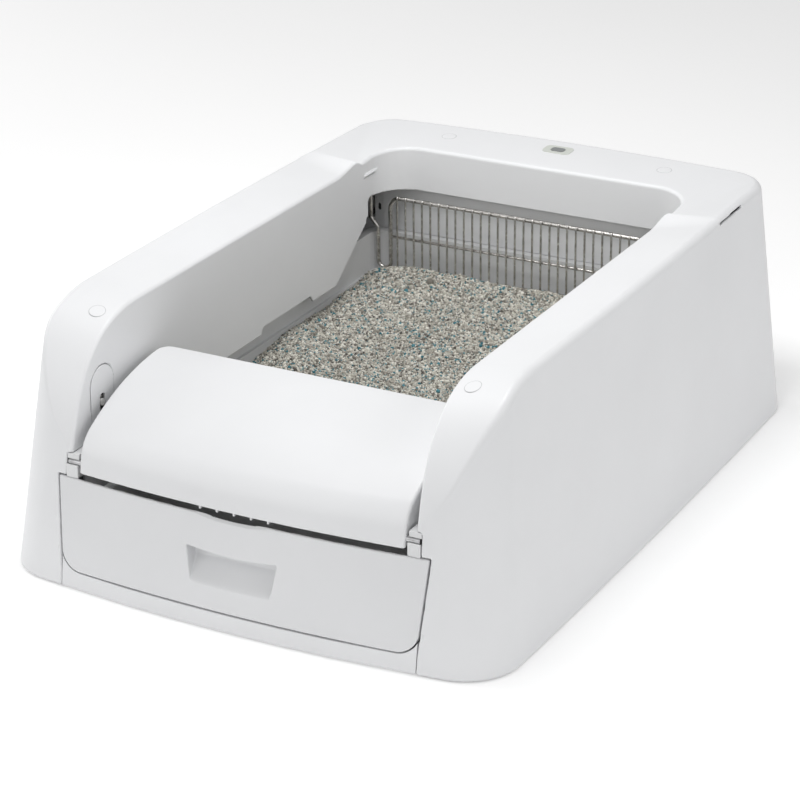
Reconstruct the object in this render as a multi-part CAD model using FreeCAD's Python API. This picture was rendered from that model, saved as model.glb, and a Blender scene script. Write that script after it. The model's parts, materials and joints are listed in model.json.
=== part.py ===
import FreeCAD, Part
import math
import os
from FreeCAD import Vector

os.makedirs("parts", exist_ok=True)

# Self-cleaning litter box. Millimetres, +Z up, front facing -Y.
# The origin is on the floor, under the middle of the overall box.

# Housing, overall
length = 682.0
base_width = 490.0
rim_inset = 24.5
rim_height = 236.0
wall = 3.0
front_lean = 0.144
rear_lean = 0.056
front_crown_radius = 1650.0
rear_crown_radius = 2500.0
side_crown_radius = 13500.0
front_corner_radius = 52.0
rear_corner_radius = 40.0
shell_lift = 1.4
crown_flats = 3
end_flat = 50.0
side_flat = 95.0
corner_flats = 5
roll_flats = 10
bay_flats = 4

# Rim and the open well inside it
side_rim_band = 56.8
side_rim_drop = 9.2
rear_rim_band = 75.7
rear_rim_drop = 4.8
well_corner_radius = 38.0
well_draft = 0.016
skirt_wall = 2.5
rear_skirt_depth = 47.0
rear_skirt_inset = 11.7

# Arm ends roll down to the front on one free curve
roll_start_height = 98.5
roll_run = 115.0
roll_lower_pull = 67.0
roll_upper_pull = 86.6

# Inner side panels of the well, lower edge
panel_bottom = 115.0
panel_recess = 6.7
recess_front = 341.0
recess_length = 93.0
panel_cut_from_rear = 108.7
panel_cut_rise = 48.0

# Drawer
drawer_top_outset = 14.6
drawer_bottom_outset = 8.0
drawer_bottom = 17.4
drawer_height = 82.1
drawer_corner = 20.0
drawer_gap = 1.3
jamb_wall = 2.5
jamb_length = 46.0
jamb_clearance = 0.5
sill_gap = 0.6
drawer_skin = 3.0
drawer_rim = 2.4
drawer_rim_depth = 24.0
drawer_top_relief = 6.0
pocket_top_width = 87.2
pocket_bottom_width = 76.8
pocket_top = 69.4
pocket_bottom = 38.3
pocket_depth = 19.0
pocket_sag = 3.0
dip_half_width = 44.0
dip_depth = 3.6
bin_depth = 88.0
bin_height = 58.0
bin_side_inset = 5.7
bin_corner = 12.0
bin_wall = 2.0
bay_side_gap = 10.6
bay_wall = 2.4
bay_length = 127.5
bag_rim = 2.4
bag_rim_width = 8.0
bin_arm_half = 8.0
bin_arm_low = 36.0
bin_arm_drop = 6.0
bin_arm_gap = 0.1
runner_half = 110.0

# Lid
lid_side_gap = 7.3
lid_front_inset = 24.5
lid_rise = 68.8
lid_top_radius = 235.0
lid_top_turn = 30.6
lid_roll_radius = 34.0
lid_roll_turn = 50.0
lid_lip_gap = 4.7
lid_skin = 2.6
lid_flange = 15.0
lid_crown = 8.4
lid_rear_radius = 12.0
lid_hinge_inset = 28.2
lid_hinge_lift = 12.0
lid_pin_radius = 3.0
lid_rib_pitch = 16.4
lid_rib_count = 5
hinge_boss_radius = 6.0
hinge_boss_length = 8.5
cradle_gap = 2.4
cradle_width = 11.4
notch_gap = 0.6
notch_rise = 8.2
notch_length = 44.0
lid_top_flats = 4
lid_roll_flats = 4
lid_strips = 6

# Tray and litter
tray_rim_height = 136.0
tray_floor = 26.0
tray_wall = 2.2
tray_outset = 17.8
tray_ledge_height = 96.0
tray_ledge = 3.5
tray_lower_draft = 6.0
tray_rear_gap = 10.2
tray_corner = 14.0
tray_flange = 6.5
tray_rib_count = 5
lip_margin = 2.0
spout_reach = 30.0
spout_fall = 3.0
litter_depth = 76.0
litter_heap = 7.0
litter_below_lip = 3.0

# Rake
rake_post_gap = 3.9
rake_top = 176.8
rake_frame_radius = 2.2
rake_corner = 12.0
rake_loop_lift = 4.5
rake_arm_outset = 10.5
rake_neck_outset = 18.6
rake_bend_lift = 7.3
rake_bend_rise = 8.4
rake_mid_height = 130.5
rake_mid_radius = 1.5
tine_radius = 1.1
tine_count = 33
tine_floor_gap = 3.0
rake_pivot_height = 200.0
rake_park_gap = 6.3
rake_end_inset = 276.8
rake_tip_angle = 47.0
ramp_clearance = 3.0

# Carriages, rails and belts
hub_radius = 9.0
hub_width = 8.5
pivot_pin_radius = 4.0
running_gap = 0.3
slide_gap = 0.3
carriage_length = 36.0
carriage_plate = 7.7
rail_width = 12.0
rail_height = 28.0
groove_depth = 6.0
groove_height = 8.0
belt_width = 6.0
belt_thickness = 1.6
pulley_radius = 12.0
pulley_teeth = 14
belt_drop = 38.0
shaft_radius = 4.0
rear_shaft_offset = 46.2
front_idler_offset = 56.0

# Lid locks, and the pill-shaped covers that they show through
lock_travel = 15.0
cover_inset = 75.0
cover_half = 17.0
cover_round_height = 167.0
cover_depth = 3.0
lock_height = 150.0
lock_arm = 53.0
lock_pin_radius = 3.0
lock_slot_half = 4.2

# Drive
gear_module = 1.5
shaft_gear_teeth = 26
pinion_teeth = 11
gear_width = 8.0
gear_x = 60.0
motor_radius = 13.5
motor_length = 58.0
gearbox_radius = 15.0
gearbox_length = 20.0

# Power inlet
inlet_x = 150.0
inlet_z = 46.0

# Controls and small parts
eye_height = 157.5
eye_half_width = 1.8
eye_half_height = 3.8
bezel_width = 30.0
bezel_depth = 19.0
button_width = 14.0
button_depth = 9.0
button_travel = 1.2
button_rear_inset = 28.1
board_drop = 19.0
board_half = 58.0
board_post_half = 50.0
plug_radius = 7.0
plug_flats = 12
boss_radius = 5.0
boss_height = 62.0
foot_radius = 9.0
foot_height = 2.0
side_slot_rear = 104.0
side_slot_length = 55.0
side_slot_drop = 6.0
tab_rear = 109.0
tab_length = 32.0
tab_drop = 24.0

# Worked out from the sizes above
front_y = -length / 2
rear_y = length / 2
base_half = base_width / 2
rim_half = base_half - rim_inset
side_lean = (base_half - rim_half) / rim_height
side_slope = side_rim_drop / side_rim_band
rear_slope = rear_rim_drop / rear_rim_band
rim_rear_y = rear_y - rear_lean * rim_height
well_half = rim_half - side_rim_band
well_edge_height = rim_height - side_rim_drop
well_rear_y = rim_rear_y - rear_rim_band
rake_y = well_rear_y - rake_park_gap
rake_end_y = front_y + rake_end_inset
rake_post_half = well_half - rake_post_gap
rake_arm_half = well_half + rake_arm_outset
rake_neck_half = well_half + rake_neck_outset
rake_u_bottom = tray_ledge_height + rake_loop_lift
rake_bend_low = tray_rim_height + rake_bend_lift
rake_bend_high = rake_bend_low + rake_bend_rise
tine_tip_height = tray_floor + tine_floor_gap
tine_reach = rake_pivot_height - tine_tip_height
ramp_radius = tine_reach + ramp_clearance
bulkhead_y = rake_y + 19.2
tray_rear_y = rake_y + tray_rear_gap
tray_half_width = well_half + tray_outset
belt_axis_height = rake_pivot_height - belt_drop
drawer_top_half = well_half + drawer_top_outset
drawer_low_half = well_half + drawer_bottom_outset
bin_half_width = well_half - bin_side_inset
bay_half = bin_half_width + bay_side_gap
lid_hinge_y = front_y + lid_hinge_inset
lid_half = well_half - lid_side_gap
floor_low = foot_height
floor_top = floor_low + 2.8
opening_top = drawer_bottom + drawer_height + drawer_gap
lid_lip_bottom = opening_top + lid_lip_gap
lid_rear_height = lid_lip_bottom + lid_rise
lid_hinge_height = opening_top + lid_hinge_lift
notch_top = lid_hinge_height + notch_rise
lip_angle = math.radians(rake_tip_angle + lip_margin)
lip_y = rake_end_y - ramp_radius * math.sin(lip_angle)
lip_z = rake_pivot_height - ramp_radius * math.cos(lip_angle)
ROOF_REACH = 40.0


def box(x0, x1, y0, y1, z0, z1):
    return Part.makeBox(x1 - x0, y1 - y0, z1 - z0, Vector(x0, y0, z0))


def rod_x(x0, x1, y, z, radius):
    return Part.makeCylinder(radius, x1 - x0, Vector(x0, y, z), Vector(1, 0, 0))


def rod_z(x, y, z0, z1, radius):
    return Part.makeCylinder(radius, z1 - z0, Vector(x, y, z0), Vector(0, 0, 1))


def flat_rod_z(x, y, z0, z1, radius, sides):
    points = []
    for i in range(sides):
        angle = 2 * math.pi * (i + 0.5) / sides
        points.append((x + radius * math.cos(angle), y + radius * math.sin(angle), z0))
    return prism(points, (0, 0, z1 - z0))


def polygon(points):
    return Part.makePolygon([Vector(*p) for p in points] + [Vector(*points[0])])


def prism(points, travel):
    return Part.Face(polygon(points)).extrude(Vector(*travel))


def mirrored(shape):
    return shape.mirror(Vector(0, 0, 0), Vector(1, 0, 0))


def fuse_all(shapes):
    return shapes[0].multiFuse(shapes[1:]).removeSplitter()


def centred_box(width, depth, z0, z1, y):
    return box(-width / 2, width / 2, y - depth / 2, y + depth / 2, z0, z1)


def upright_edges(shape, test):
    found = []
    for edge in shape.Edges:
        start, end = edge.Vertexes[0].Point, edge.Vertexes[-1].Point
        if abs(end.z - start.z) > 0.7 * edge.Length and test((start + end) * 0.5):
            found.append(edge)
    return found


def rounded_slab(width, depth, z0, z1, radius, x=0.0, y=0.0):
    slab = box(x - width / 2, x + width / 2, y - depth / 2, y + depth / 2, z0, z1)
    return slab.makeFillet(radius, upright_edges(slab, lambda p: True))


# Round stretches of the housing are run as short flats, evenly turned

def arc_flats(centre, start, end, flats):
    """Points along the shorter arc from start to end, without the last one."""
    first = math.atan2(start.y - centre.y, start.x - centre.x)
    turn = math.atan2(end.y - centre.y, end.x - centre.x) - first
    turn = (turn + math.pi) % (2 * math.pi) - math.pi
    radius = (start - centre).Length
    points = []
    for i in range(flats):
        angle = first + turn * i / flats
        spoke = Vector(math.cos(angle), math.sin(angle), 0) * radius
        points.append(Vector(centre.x + spoke.x, centre.y + spoke.y, start.z))
    return points


def bezier_flats(poles, flats):
    points = []
    for i in range(flats + 1):
        t = i / flats
        weights = ((1 - t) ** 3, 3 * t * (1 - t) ** 2, 3 * t * t * (1 - t), t ** 3)
        at = Vector(0, 0, 0)
        for weight, pole in zip(weights, poles):
            at = at + pole * weight
        points.append(at)
    return points


def flat_loft(wires):
    """Ruled solid through wires whose flats run parallel, with a true plane for each face."""
    loft = Part.makeLoft(wires, True, True)
    faces = [Part.Face(closed_wire([v.Point for v in face.OuterWire.OrderedVertexes])) for face in loft.Faces]
    shell = Part.makeShell(faces)
    shell.sewShape()
    return Part.makeSolid(shell)


def closed_wire(points):
    return Part.makePolygon(points + [points[0]])


def left_of(p):
    return Vector(-p.x, p.y, p.z)


# Housing outline: four crowned sides that lean inwards, with round corners

def round_corner(side_point, end_point, crown_radius, radius, sign):
    """Middle and touching points of the corner between the last side flat and the last end flat."""
    side_turn = (crown_flats - 0.5) * side_flat / side_crown_radius
    end_turn = crown_flats * end_flat / crown_radius
    side_out = Vector(math.cos(side_turn), sign * math.sin(side_turn), 0)
    end_out = Vector(math.sin(end_turn), sign * math.cos(end_turn), 0)
    p = side_out.dot(side_point) - radius
    q = end_out.dot(end_point) - radius
    size = side_out.x * end_out.y - side_out.y * end_out.x
    mid = Vector((p * end_out.y - q * side_out.y) / size, (q * side_out.x - p * end_out.x) / size, 0)
    return mid, mid + side_out * radius, mid + end_out * radius


def outline(height, inset):
    half = base_half - side_lean * height - inset
    front = front_y + front_lean * height + inset
    rear = rear_y - rear_lean * height - inset
    stations = range(crown_flats)
    across = [i * end_flat for i in stations]
    front_line = [Vector(x, front + x ** 2 / (2 * front_crown_radius), 0) for x in across]
    rear_line = [Vector(x, rear - x ** 2 / (2 * rear_crown_radius), 0) for x in across]
    side_line = []
    for i in range(1 - crown_flats, crown_flats):
        side_line.append(Vector(half - (i * side_flat) ** 2 / (2 * side_crown_radius), i * side_flat, 0))
    f_mid, f_side, f_end = round_corner(side_line[0], front_line[-1], front_crown_radius,
                                        front_corner_radius - inset, -1)
    r_mid, r_side, r_end = round_corner(side_line[-1], rear_line[-1], rear_crown_radius,
                                        rear_corner_radius - inset, 1)
    right = front_line + arc_flats(f_mid, f_end, f_side, corner_flats) + [f_side] + side_line
    right += arc_flats(r_mid, r_side, r_end, corner_flats) + [r_end] + rear_line[::-1]
    left = [left_of(p) for p in reversed(right[1:-1])]
    wire = closed_wire(right + left)
    wire.translate(Vector(0, 0, height))
    return wire


def tapered_block(inset, z0, z1):
    return flat_loft([outline(z0, inset), outline(z1, inset)])


# Roof over the block: each side slopes down towards the well,
# and the arm ends roll down to the front.

def side_roof(inset, sign):
    start_x = base_half + ROOF_REACH
    raise_by = (start_x - rim_half) * side_slope - inset
    back = 0.9 * inset
    start = Vector(0, front_y + 20.5 + back, roll_start_height - inset)
    top = Vector(0, front_y + 20.5 + roll_run + back, rim_height - inset)
    lean = Vector(0, front_lean, 1).normalize()
    roll = bezier_flats([start, start + lean * roll_lower_pull, top - Vector(0, roll_upper_pull, 0), top],
                        roll_flats)
    reach = 60.0
    profile = closed_wire(roll + [Vector(0, rear_y + reach, top.z), Vector(0, rear_y + reach, -reach),
                                  Vector(0, front_y - reach, -reach), Vector(0, front_y - reach, start.z)])
    profile.translate(Vector(-sign * start_x, 0, raise_by + inset))
    return Part.Face(profile).extrude(Vector(sign * start_x, 0, -start_x * side_slope))


def rear_roof(inset):
    reach = base_half + ROOF_REACH
    y1 = rear_y + ROOF_REACH
    z1 = rim_height - inset + (y1 - rim_rear_y) * rear_slope
    # The rear slope only carries the back of the rim, so it starts behind the arms.
    y_start = well_rear_y - 60
    z_start = rim_height - inset - (rim_rear_y - y_start) * rear_slope
    return prism([(-reach, y_start, -60), (-reach, y1, -60), (-reach, y1, z1), (-reach, y_start, z_start)],
                 (2 * reach, 0, 0))


def roof(inset):
    return side_roof(inset, 1).multiFuse([side_roof(inset, -1), rear_roof(inset)])


def housing(inset, z0):
    return tapered_block(inset, z0, rim_height + 12).common(roof(inset))


# Plans open at the front, with two round rear corners

def bay_plan(half, front, rear, radius, height):
    mid = Vector(half - radius, rear - radius, height)
    corner = arc_flats(mid, Vector(half, mid.y, height), Vector(mid.x, rear, height), bay_flats)
    right = [Vector(half, front, height)] + corner + [Vector(mid.x, rear, height)]
    return closed_wire(right + [left_of(p) for p in reversed(right)])


# Well: the open space that the rim surrounds

def well(inset, z0):
    def plan(height):
        grow = (well_edge_height - height) * well_draft - inset
        corner = well_corner_radius - inset
        return bay_plan(well_half + grow, front_y - 40, well_rear_y + grow, corner, height)
    return flat_loft([plan(z0), plan(rim_height + 20)])


def panel_region():
    # Side panels of the well, seen from the side: a stepped lower edge,
    # and a rear edge cut away so that the parked rake is free.
    recess_y = front_y + recess_front
    cut_y = well_rear_y - panel_cut_from_rear
    rear_edge = well_rear_y - 41.5
    reach = well_half + 20
    side = prism([(-reach, front_y - 10, 103), (-reach, front_y + 115, 103),
                  (-reach, front_y + 119, panel_bottom), (-reach, recess_y, panel_bottom),
                  (-reach, recess_y + 3, panel_bottom + panel_recess),
                  (-reach, recess_y + recess_length, panel_bottom + panel_recess),
                  (-reach, recess_y + recess_length + 4, panel_bottom),
                  (-reach, cut_y, panel_bottom),
                  (-reach, rear_edge - 4, panel_bottom + panel_cut_rise),
                  (-reach, rear_edge, panel_bottom + panel_cut_rise + 12),
                  (-reach, rear_edge, rim_height + 10), (-reach, front_y - 10, rim_height + 10)],
                 (2 * reach, 0, 0))
    skirt_low = rim_height - rear_skirt_depth
    skirt_half = well_half - rear_skirt_inset
    rear = box(-skirt_half, skirt_half, well_rear_y - 15, well_rear_y + 20, skirt_low, rim_height + 10)
    corners = box(-reach, reach, rear_edge - 5, well_rear_y + 20, rim_height - 20, rim_height + 10)
    return side.multiFuse([rear, corners])


def rake_window():
    # The U of each rake arm swings up through the side panel in this curved slot.
    mean = rake_pivot_height - rake_u_bottom
    outer = rod_x(-well_half - 12, well_half + 12, rake_end_y, rake_pivot_height, mean + 6.5)
    inner = rod_x(-well_half - 13, well_half + 13, rake_end_y, rake_pivot_height, mean - 6.0)
    stop = math.radians(rake_tip_angle + 5)
    far = 200.0
    p = [(0, rake_end_y, rake_pivot_height),
         (0, rake_end_y + 8, rake_pivot_height - far),
         (0, rake_end_y - far, rake_pivot_height - far),
         (0, rake_end_y - far * math.sin(stop), rake_pivot_height - far * math.cos(stop))]
    sector = prism([(-well_half - 14, y, z) for _, y, z in p], (2 * well_half + 28, 0, 0))
    return outer.cut(inner).common(sector)


def drawer_outline(gap, y0, y1, top):
    half_top = drawer_top_half + gap
    half_low = drawer_low_half + gap
    lean = (half_top - half_low) / drawer_height
    low = drawer_bottom - gap
    high = drawer_bottom + drawer_height + top
    block = prism([(-half_low, y0, low), (half_low, y0, low),
                   (half_low + lean * (high - low), y0, high),
                   (-half_low - lean * (high - low), y0, high)], (0, y1 - y0, 0))
    lower = [e for e in block.Edges if abs(e.Vertexes[0].Z - low) < 1e-6
             and abs(e.Vertexes[-1].Z - low) < 1e-6 and e.Length > (y1 - y0) - 1
             and abs(e.Vertexes[0].X - e.Vertexes[-1].X) < 1e-6]
    return block.makeFillet(drawer_corner + gap, lower)


def below_gate(gap, y0, y1, low):
    """Straight-sided space under the opening, where the front sill stands."""
    half = drawer_low_half + gap
    return box(-half, half, y0, y1, low, drawer_bottom + drawer_corner)


def plug_places():
    places = []
    for sign in (-1, 1):
        places.append((sign * (well_half - 46.7), rim_rear_y - 35.8))
        places.append((sign * (well_half + 16.8), front_y + 96.5))
    return places


def foot_places():
    places = []
    for sign in (-1, 1):
        for y in (front_y + 55, rear_y - 45):
            places.append((sign * (base_half - 45), y))
    return places


def screw_places():
    places = []
    for sign in (-1, 1):
        for y in (front_y + 110, rear_y - 95):
            places.append((sign * (base_half - 13), y))
    return places


def button_y():
    return rim_rear_y - button_rear_inset


def board_top():
    return rim_height - board_drop


def board_posts():
    return [(x, y) for x in (-board_post_half, board_post_half) for y in (button_y() - 14, button_y() + 14)]


inset_roof = housing(0, shell_lift)


def make_top_shell():
    outer = inset_roof
    inner = housing(wall, shell_lift - 5)
    hole = well(0, opening_top)
    skin = outer.cut(inner).cut(hole)
    skirt = well(-skirt_wall, 100).cut(well(0, 99)).common(outer).common(panel_region())
    skirt = skirt.cut(rake_window())
    gate = drawer_outline(drawer_gap, front_y - 20, front_y + 60, drawer_gap)
    gate = gate.fuse(below_gate(drawer_gap, front_y - 20, front_y + 60, -5))
    jamb_end = front_y + jamb_length
    thick_gate = drawer_outline(drawer_gap + jamb_wall, front_y - 10, jamb_end, drawer_gap)
    thick_gate = thick_gate.fuse(below_gate(drawer_gap + jamb_wall, front_y - 10, jamb_end, shell_lift))
    jamb = thick_gate.cut(gate).common(outer)
    jamb = jamb.cut(box(-120, 120, front_y - 60, front_y + 90, -5, 200))
    tab_end = rear_y - tab_rear
    tab_z = rim_height - tab_drop
    tab = box(well_half - 1.2, well_half + 2, tab_end - tab_length, tab_end, tab_z - 1.6, tab_z + 1.6)
    parts = [skin.cut(gate), skirt, jamb, tab, mirrored(tab)]
    for x, y in board_posts():
        parts.append(flat_rod_z(x, y, board_top(), rim_height + 5, 3.0, 8).common(outer))
    for x, y in screw_places():
        boss = flat_rod_z(x, y, floor_top + 0.2, boss_height, boss_radius, 8).common(outer)
        parts.append(boss.cut(flat_rod_z(x, y, 0, 26, 2.1, 6)))
    shell = fuse_all(parts)
    notch = box(lid_half + cradle_gap - notch_gap, lid_half + cradle_gap + cradle_width + slide_gap,
                front_y - 5, front_y + notch_length, opening_top - 2, notch_top)
    shell = shell.cut(notch).cut(mirrored(notch))
    for x, y in plug_places():
        ring = flat_rod_z(x, y, rim_height - 40, rim_height + 5, plug_radius + 0.5, plug_flats)
        shell = shell.cut(ring.cut(roof(1.6)))
    by = button_y()
    shell = shell.cut(rounded_slab(bezel_width, bezel_depth, 200, rim_height + 10, 6.0, 0, by))
    slot_z = rim_height - side_slot_drop
    slot_end = rear_y - side_slot_rear
    side = box(rim_half - 6, base_half, slot_end - side_slot_length, slot_end, slot_z - 1.0, slot_z + 1.0)
    shell = shell.cut(side).cut(mirrored(side))
    inlet = Part.makeCylinder(6.2, 60, Vector(inlet_x, rear_y - 40, inlet_z), Vector(0, 1, 0))
    for cover in (cover_blank(0.15), mirrored(cover_blank(0.15))):
        shell = shell.cut(cover)
    return shell.cut(inlet)


def cover_blank(gap):
    # Pill-shaped cover let into the inner wall of the left arm
    y = front_y + cover_inset
    half = cover_half + gap
    x0 = -well_half - cover_depth - 1.2
    x1 = -well_half - 0.2 + gap
    low = notch_top + 0.5 - gap
    pill = rod_x(x0, x1, y, cover_round_height, half)
    return pill.fuse(box(x0, x1, y - half, y + half, low, cover_round_height)).removeSplitter()


def make_cover():
    y = front_y + cover_inset
    half = lock_slot_half
    x0 = -well_half - cover_depth
    top = lock_height + half
    cover = cover_blank(0).common(box(x0, 0, front_y, 0, 0, 300))
    cover = cover.cut(well(0, 90))
    slot = rod_x(x0 - 2, 0, y, top, half).fuse(box(x0 - 2, 0, y - half, y + half, top - 2 * lock_travel, top))
    return cover.cut(slot)


def make_base():
    fit = wall + 0.4
    pan = housing(fit, floor_low).common(box(-400, 400, -500, 500, floor_low, 30))
    pan = pan.cut(housing(fit + 2.4, floor_top))
    sill_half = drawer_low_half + drawer_gap - sill_gap
    sill = housing(0, floor_low).common(box(-sill_half, sill_half, front_y - 5, front_y + 40,
                                            floor_low, drawer_bottom + drawer_corner))
    sill = sill.cut(housing(wall, floor_top))
    bay_rear = front_y + bay_length
    parts = [pan, sill]
    for sign in (-1, 1):
        side = box(bay_half, bay_half + bay_wall, front_y + jamb_length + 2, bay_rear + bay_wall,
                   floor_top, opening_top - 2.8)
        parts.append(side if sign > 0 else mirrored(side))
        runner = box(runner_half - 1.2, runner_half + 1.2, front_y + 30, bay_rear,
                     floor_top, drawer_bottom - 0.2)
        parts.append(runner if sign > 0 else mirrored(runner))
        for y in (rake_end_y - 20, rake_end_y + 130, rake_y - 60):
            post = box(rail_x() + 3.5, rail_x() + 12, y - 9, y + 9, floor_top, rail_low())
            parts.append(post if sign > 0 else mirrored(post))
        for y in (rake_y + rear_shaft_offset, rake_end_y - front_idler_offset):
            post = box(rail_x() + 3.5, rail_x() + 12.5, y - 9, y + 9, floor_top, belt_axis_height - 12)
            parts.append(post if sign > 0 else mirrored(post))
    shelf_low = lip_z - tray_wall - spout_fall * (lip_y - bay_rear) / spout_reach
    parts.append(box(-bay_half - bay_wall, bay_half + bay_wall, bay_rear, bay_rear + bay_wall,
                     floor_top, shelf_low - slide_gap))
    rib_half = tray_half_width - 16.5
    for i in range(tray_rib_count):
        y = rake_end_y + 20 + i * (tray_rear_y - 34 - rake_end_y) / (tray_rib_count - 1)
        parts.append(box(-rib_half, rib_half, y, y + bay_wall, floor_top, tray_floor - tray_wall))
    base = fuse_all(parts)
    ramp = rod_x(-300, 300, rake_end_y, rake_pivot_height, ramp_radius + tray_wall + 0.02)
    base = base.cut(ramp.common(box(-300, 300, front_y, rake_end_y - 100, 60, 200)))
    gate = drawer_outline(drawer_gap, front_y - 20, front_y + jamb_length, drawer_gap)
    base = base.cut(gate)
    for x, y in screw_places():
        base = base.cut(flat_rod_z(x, y, floor_top, boss_height + 8, boss_radius + 0.4, 8))
        base = base.cut(flat_rod_z(x, y, 0, 10, 2.3, 6)).cut(flat_rod_z(x, y, 0, floor_low + 1.4, 4.5, 8))
    gap = drawer_gap + jamb_wall + jamb_clearance
    jamb_end = front_y + jamb_length + 1
    jamb = drawer_outline(gap, front_y - 10, jamb_end, drawer_gap)
    jamb = jamb.fuse(below_gate(gap, front_y - 10, jamb_end, shell_lift))
    keep = box(-sill_half, sill_half, front_y - 60, front_y + 60, -5, 200)
    return base.cut(jamb.cut(keep))


# Side channel places, right-hand side

def arm_hub_x():
    return rake_neck_half - hub_width / 2


def plate_x():
    return rake_neck_half + hub_width / 2 + slide_gap


def rail_x():
    return plate_x() + carriage_plate + slide_gap


def rail_low():
    return rake_pivot_height - rail_height / 2 - 2


def belt_x():
    return plate_x() + 3.0


def belt_radius():
    return pulley_radius + slide_gap


def make_rail():
    x = rail_x()
    y0 = rake_end_y - 30
    y1 = bulkhead_y
    low = rail_low()
    rail = box(x, x + rail_width, y0, y1, low, low + rail_height)
    mid = rake_pivot_height - 2
    half = groove_height / 2
    rail = rail.cut(box(x - 1, x + groove_depth, y0 - 1, y1 + 1, mid - half, mid + half))
    relief = box(x + rail_width - 3.5, x + rail_width + 1, y0 - 1, y1 + 1, low + 5, low + rail_height - 5)
    return rail.cut(relief)


def make_carriage():
    x = plate_x()
    half = carriage_length / 2
    top = rail_low() + rail_height
    mid = rake_pivot_height - 2
    tongue = groove_height / 2 - slide_gap
    plate = box(x, x + carriage_plate, rake_y - half, rake_y + half, rail_low() - 4, top)
    plate = plate.makeFillet(4.0, [e for e in plate.Edges if abs(e.Vertexes[0].Y - e.Vertexes[-1].Y) < 1e-6
                                   and abs(e.Vertexes[0].Z - e.Vertexes[-1].Z) < 1e-6])
    key = box(x + carriage_plate - 1, rail_x() + groove_depth - slide_gap,
              rake_y - half, rake_y + half, mid - tongue, mid + tongue)
    run = belt_axis_height + belt_radius()
    lug = box(x, x + carriage_plate, rake_y - 10, rake_y + 10, run - 6, rail_low())
    slot = box(belt_x() - 0.4, x + carriage_plate + 1, rake_y - 11, rake_y + 11,
               run - 0.4, run + belt_thickness + 0.4)
    pin = rod_x(x - 20, x + carriage_plate - 1.5, rake_y, rake_pivot_height, pivot_pin_radius)
    return fuse_all([plate, key, lug]).cut(slot).cut(pin)


def make_pivot_pin():
    x = plate_x()
    shank = rod_x(arm_hub_x() - 1.2, x + carriage_plate - 1.5, rake_y, rake_pivot_height, pivot_pin_radius)
    head = rod_x(arm_hub_x() - 2.4, arm_hub_x() - slide_gap, rake_y, rake_pivot_height, pivot_pin_radius + 2)
    return shank.fuse(head).removeSplitter()


def make_hub():
    x = arm_hub_x()
    ring = rod_x(x, x + hub_width, rake_y, rake_pivot_height, hub_radius)
    neck = flat_rod_z(rake_neck_half, rake_y, rake_pivot_height - 16, rake_pivot_height - 6, 4.0, 8)
    ring = ring.fuse(neck).cut(rod_x(x - 1, x + hub_width + 1, rake_y, rake_pivot_height,
                                     pivot_pin_radius + running_gap))
    return ring.cut(flat_rod_z(rake_neck_half, rake_y, 0, rake_pivot_height - 5.5, rake_frame_radius, 6))


# Rake: one bent frame wire, a middle rod and hooked tines

def bend_points(points, radii, steps):
    """Centre line with each corner turned in a few short steps round its radius."""
    line = [points[0]]
    for i in range(1, len(points) - 1):
        b = points[i]
        u = (points[i - 1] - b).normalize()
        w = (points[i + 1] - b).normalize()
        half = u.getAngle(w) / 2
        radius = radii[i - 1]
        centre = b + (u + w).normalize() * (radius / math.sin(half))
        first = b + u * (radius / math.tan(half)) - centre
        last = b + w * (radius / math.tan(half)) - centre
        turn = first.getAngle(last)
        for k in range(steps + 1):
            a = turn * k / steps
            at = centre + first * (math.sin(turn - a) / math.sin(turn))
            at += last * (math.sin(a) / math.sin(turn))
            if (at - line[-1]).Length > 0.5:
                line.append(at)
    line.append(points[-1])
    return line


def drawn_rod(line, across, radius, sides):
    """Rod of many flats along a centre line in the plane square to across."""
    rings = []
    for i, at in enumerate(line):
        before = (at - line[i - 1]).normalize() if i > 0 else (line[1] - at).normalize()
        after = (line[i + 1] - at).normalize() if i < len(line) - 1 else before
        way = (before + after).normalize()
        stretch = 1 / math.cos(before.getAngle(way)) if before.getAngle(way) > 1e-9 else 1.0
        out = across.cross(way)
        ring = []
        for k in range(sides):
            angle = 2 * math.pi * (k + 0.5) / sides
            ring.append(at + out * (radius * stretch * math.cos(angle)) + across * (radius * math.sin(angle)))
        rings.append(closed_wire(ring))
    return flat_loft(rings)


def make_rake_frame():
    y = rake_y
    low = rake_u_bottom
    u_radius = (rake_arm_half - rake_post_half) / 2 - 0.05
    half = [Vector(rake_neck_half, y, rake_pivot_height - 5.5), Vector(rake_neck_half, y, rake_bend_high),
            Vector(rake_arm_half, y, rake_bend_low), Vector(rake_arm_half, y, low),
            Vector(rake_post_half, y, low), Vector(rake_post_half, y, rake_top)]
    radii = [6.0, 6.0, u_radius, u_radius, rake_corner]
    other = [Vector(-p.x, p.y, p.z) for p in reversed(half)]
    line = bend_points(half + other, radii + list(reversed(radii)), 3)
    return drawn_rod(line, Vector(0, 1, 0), rake_frame_radius, 6)


def tine_y():
    return rake_y - rake_frame_radius - tine_radius - 0.03


def make_mid_rod(frame):
    y = tine_y() + tine_radius + rake_mid_radius + 0.03
    return rod_x(-rake_post_half, rake_post_half, y, rake_mid_height, rake_mid_radius).cut(frame)


def make_tines():
    pitch = 2 * rake_post_half / (tine_count + 1)
    hook = rake_y - tine_y()
    line = [Vector(0, tine_y(), tine_tip_height)]
    for angle in (30, 90):
        a = math.radians(angle)
        reach = hook / math.cos(math.radians(30))
        line.append(Vector(0, rake_y - reach * math.cos(a), rake_top + reach * math.sin(a)))
    tine = drawn_rod(line, Vector(1, 0, 0), tine_radius, 5)
    tines = []
    for i in range(tine_count):
        copy = tine.copy()
        copy.translate(Vector(-rake_post_half + pitch * (i + 1), 0, 0))
        tines.append(copy)
    return Part.makeCompound(tines)


# Tray: flat floor, and a ramp struck round the rake's pivot at the end of its sweep

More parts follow.
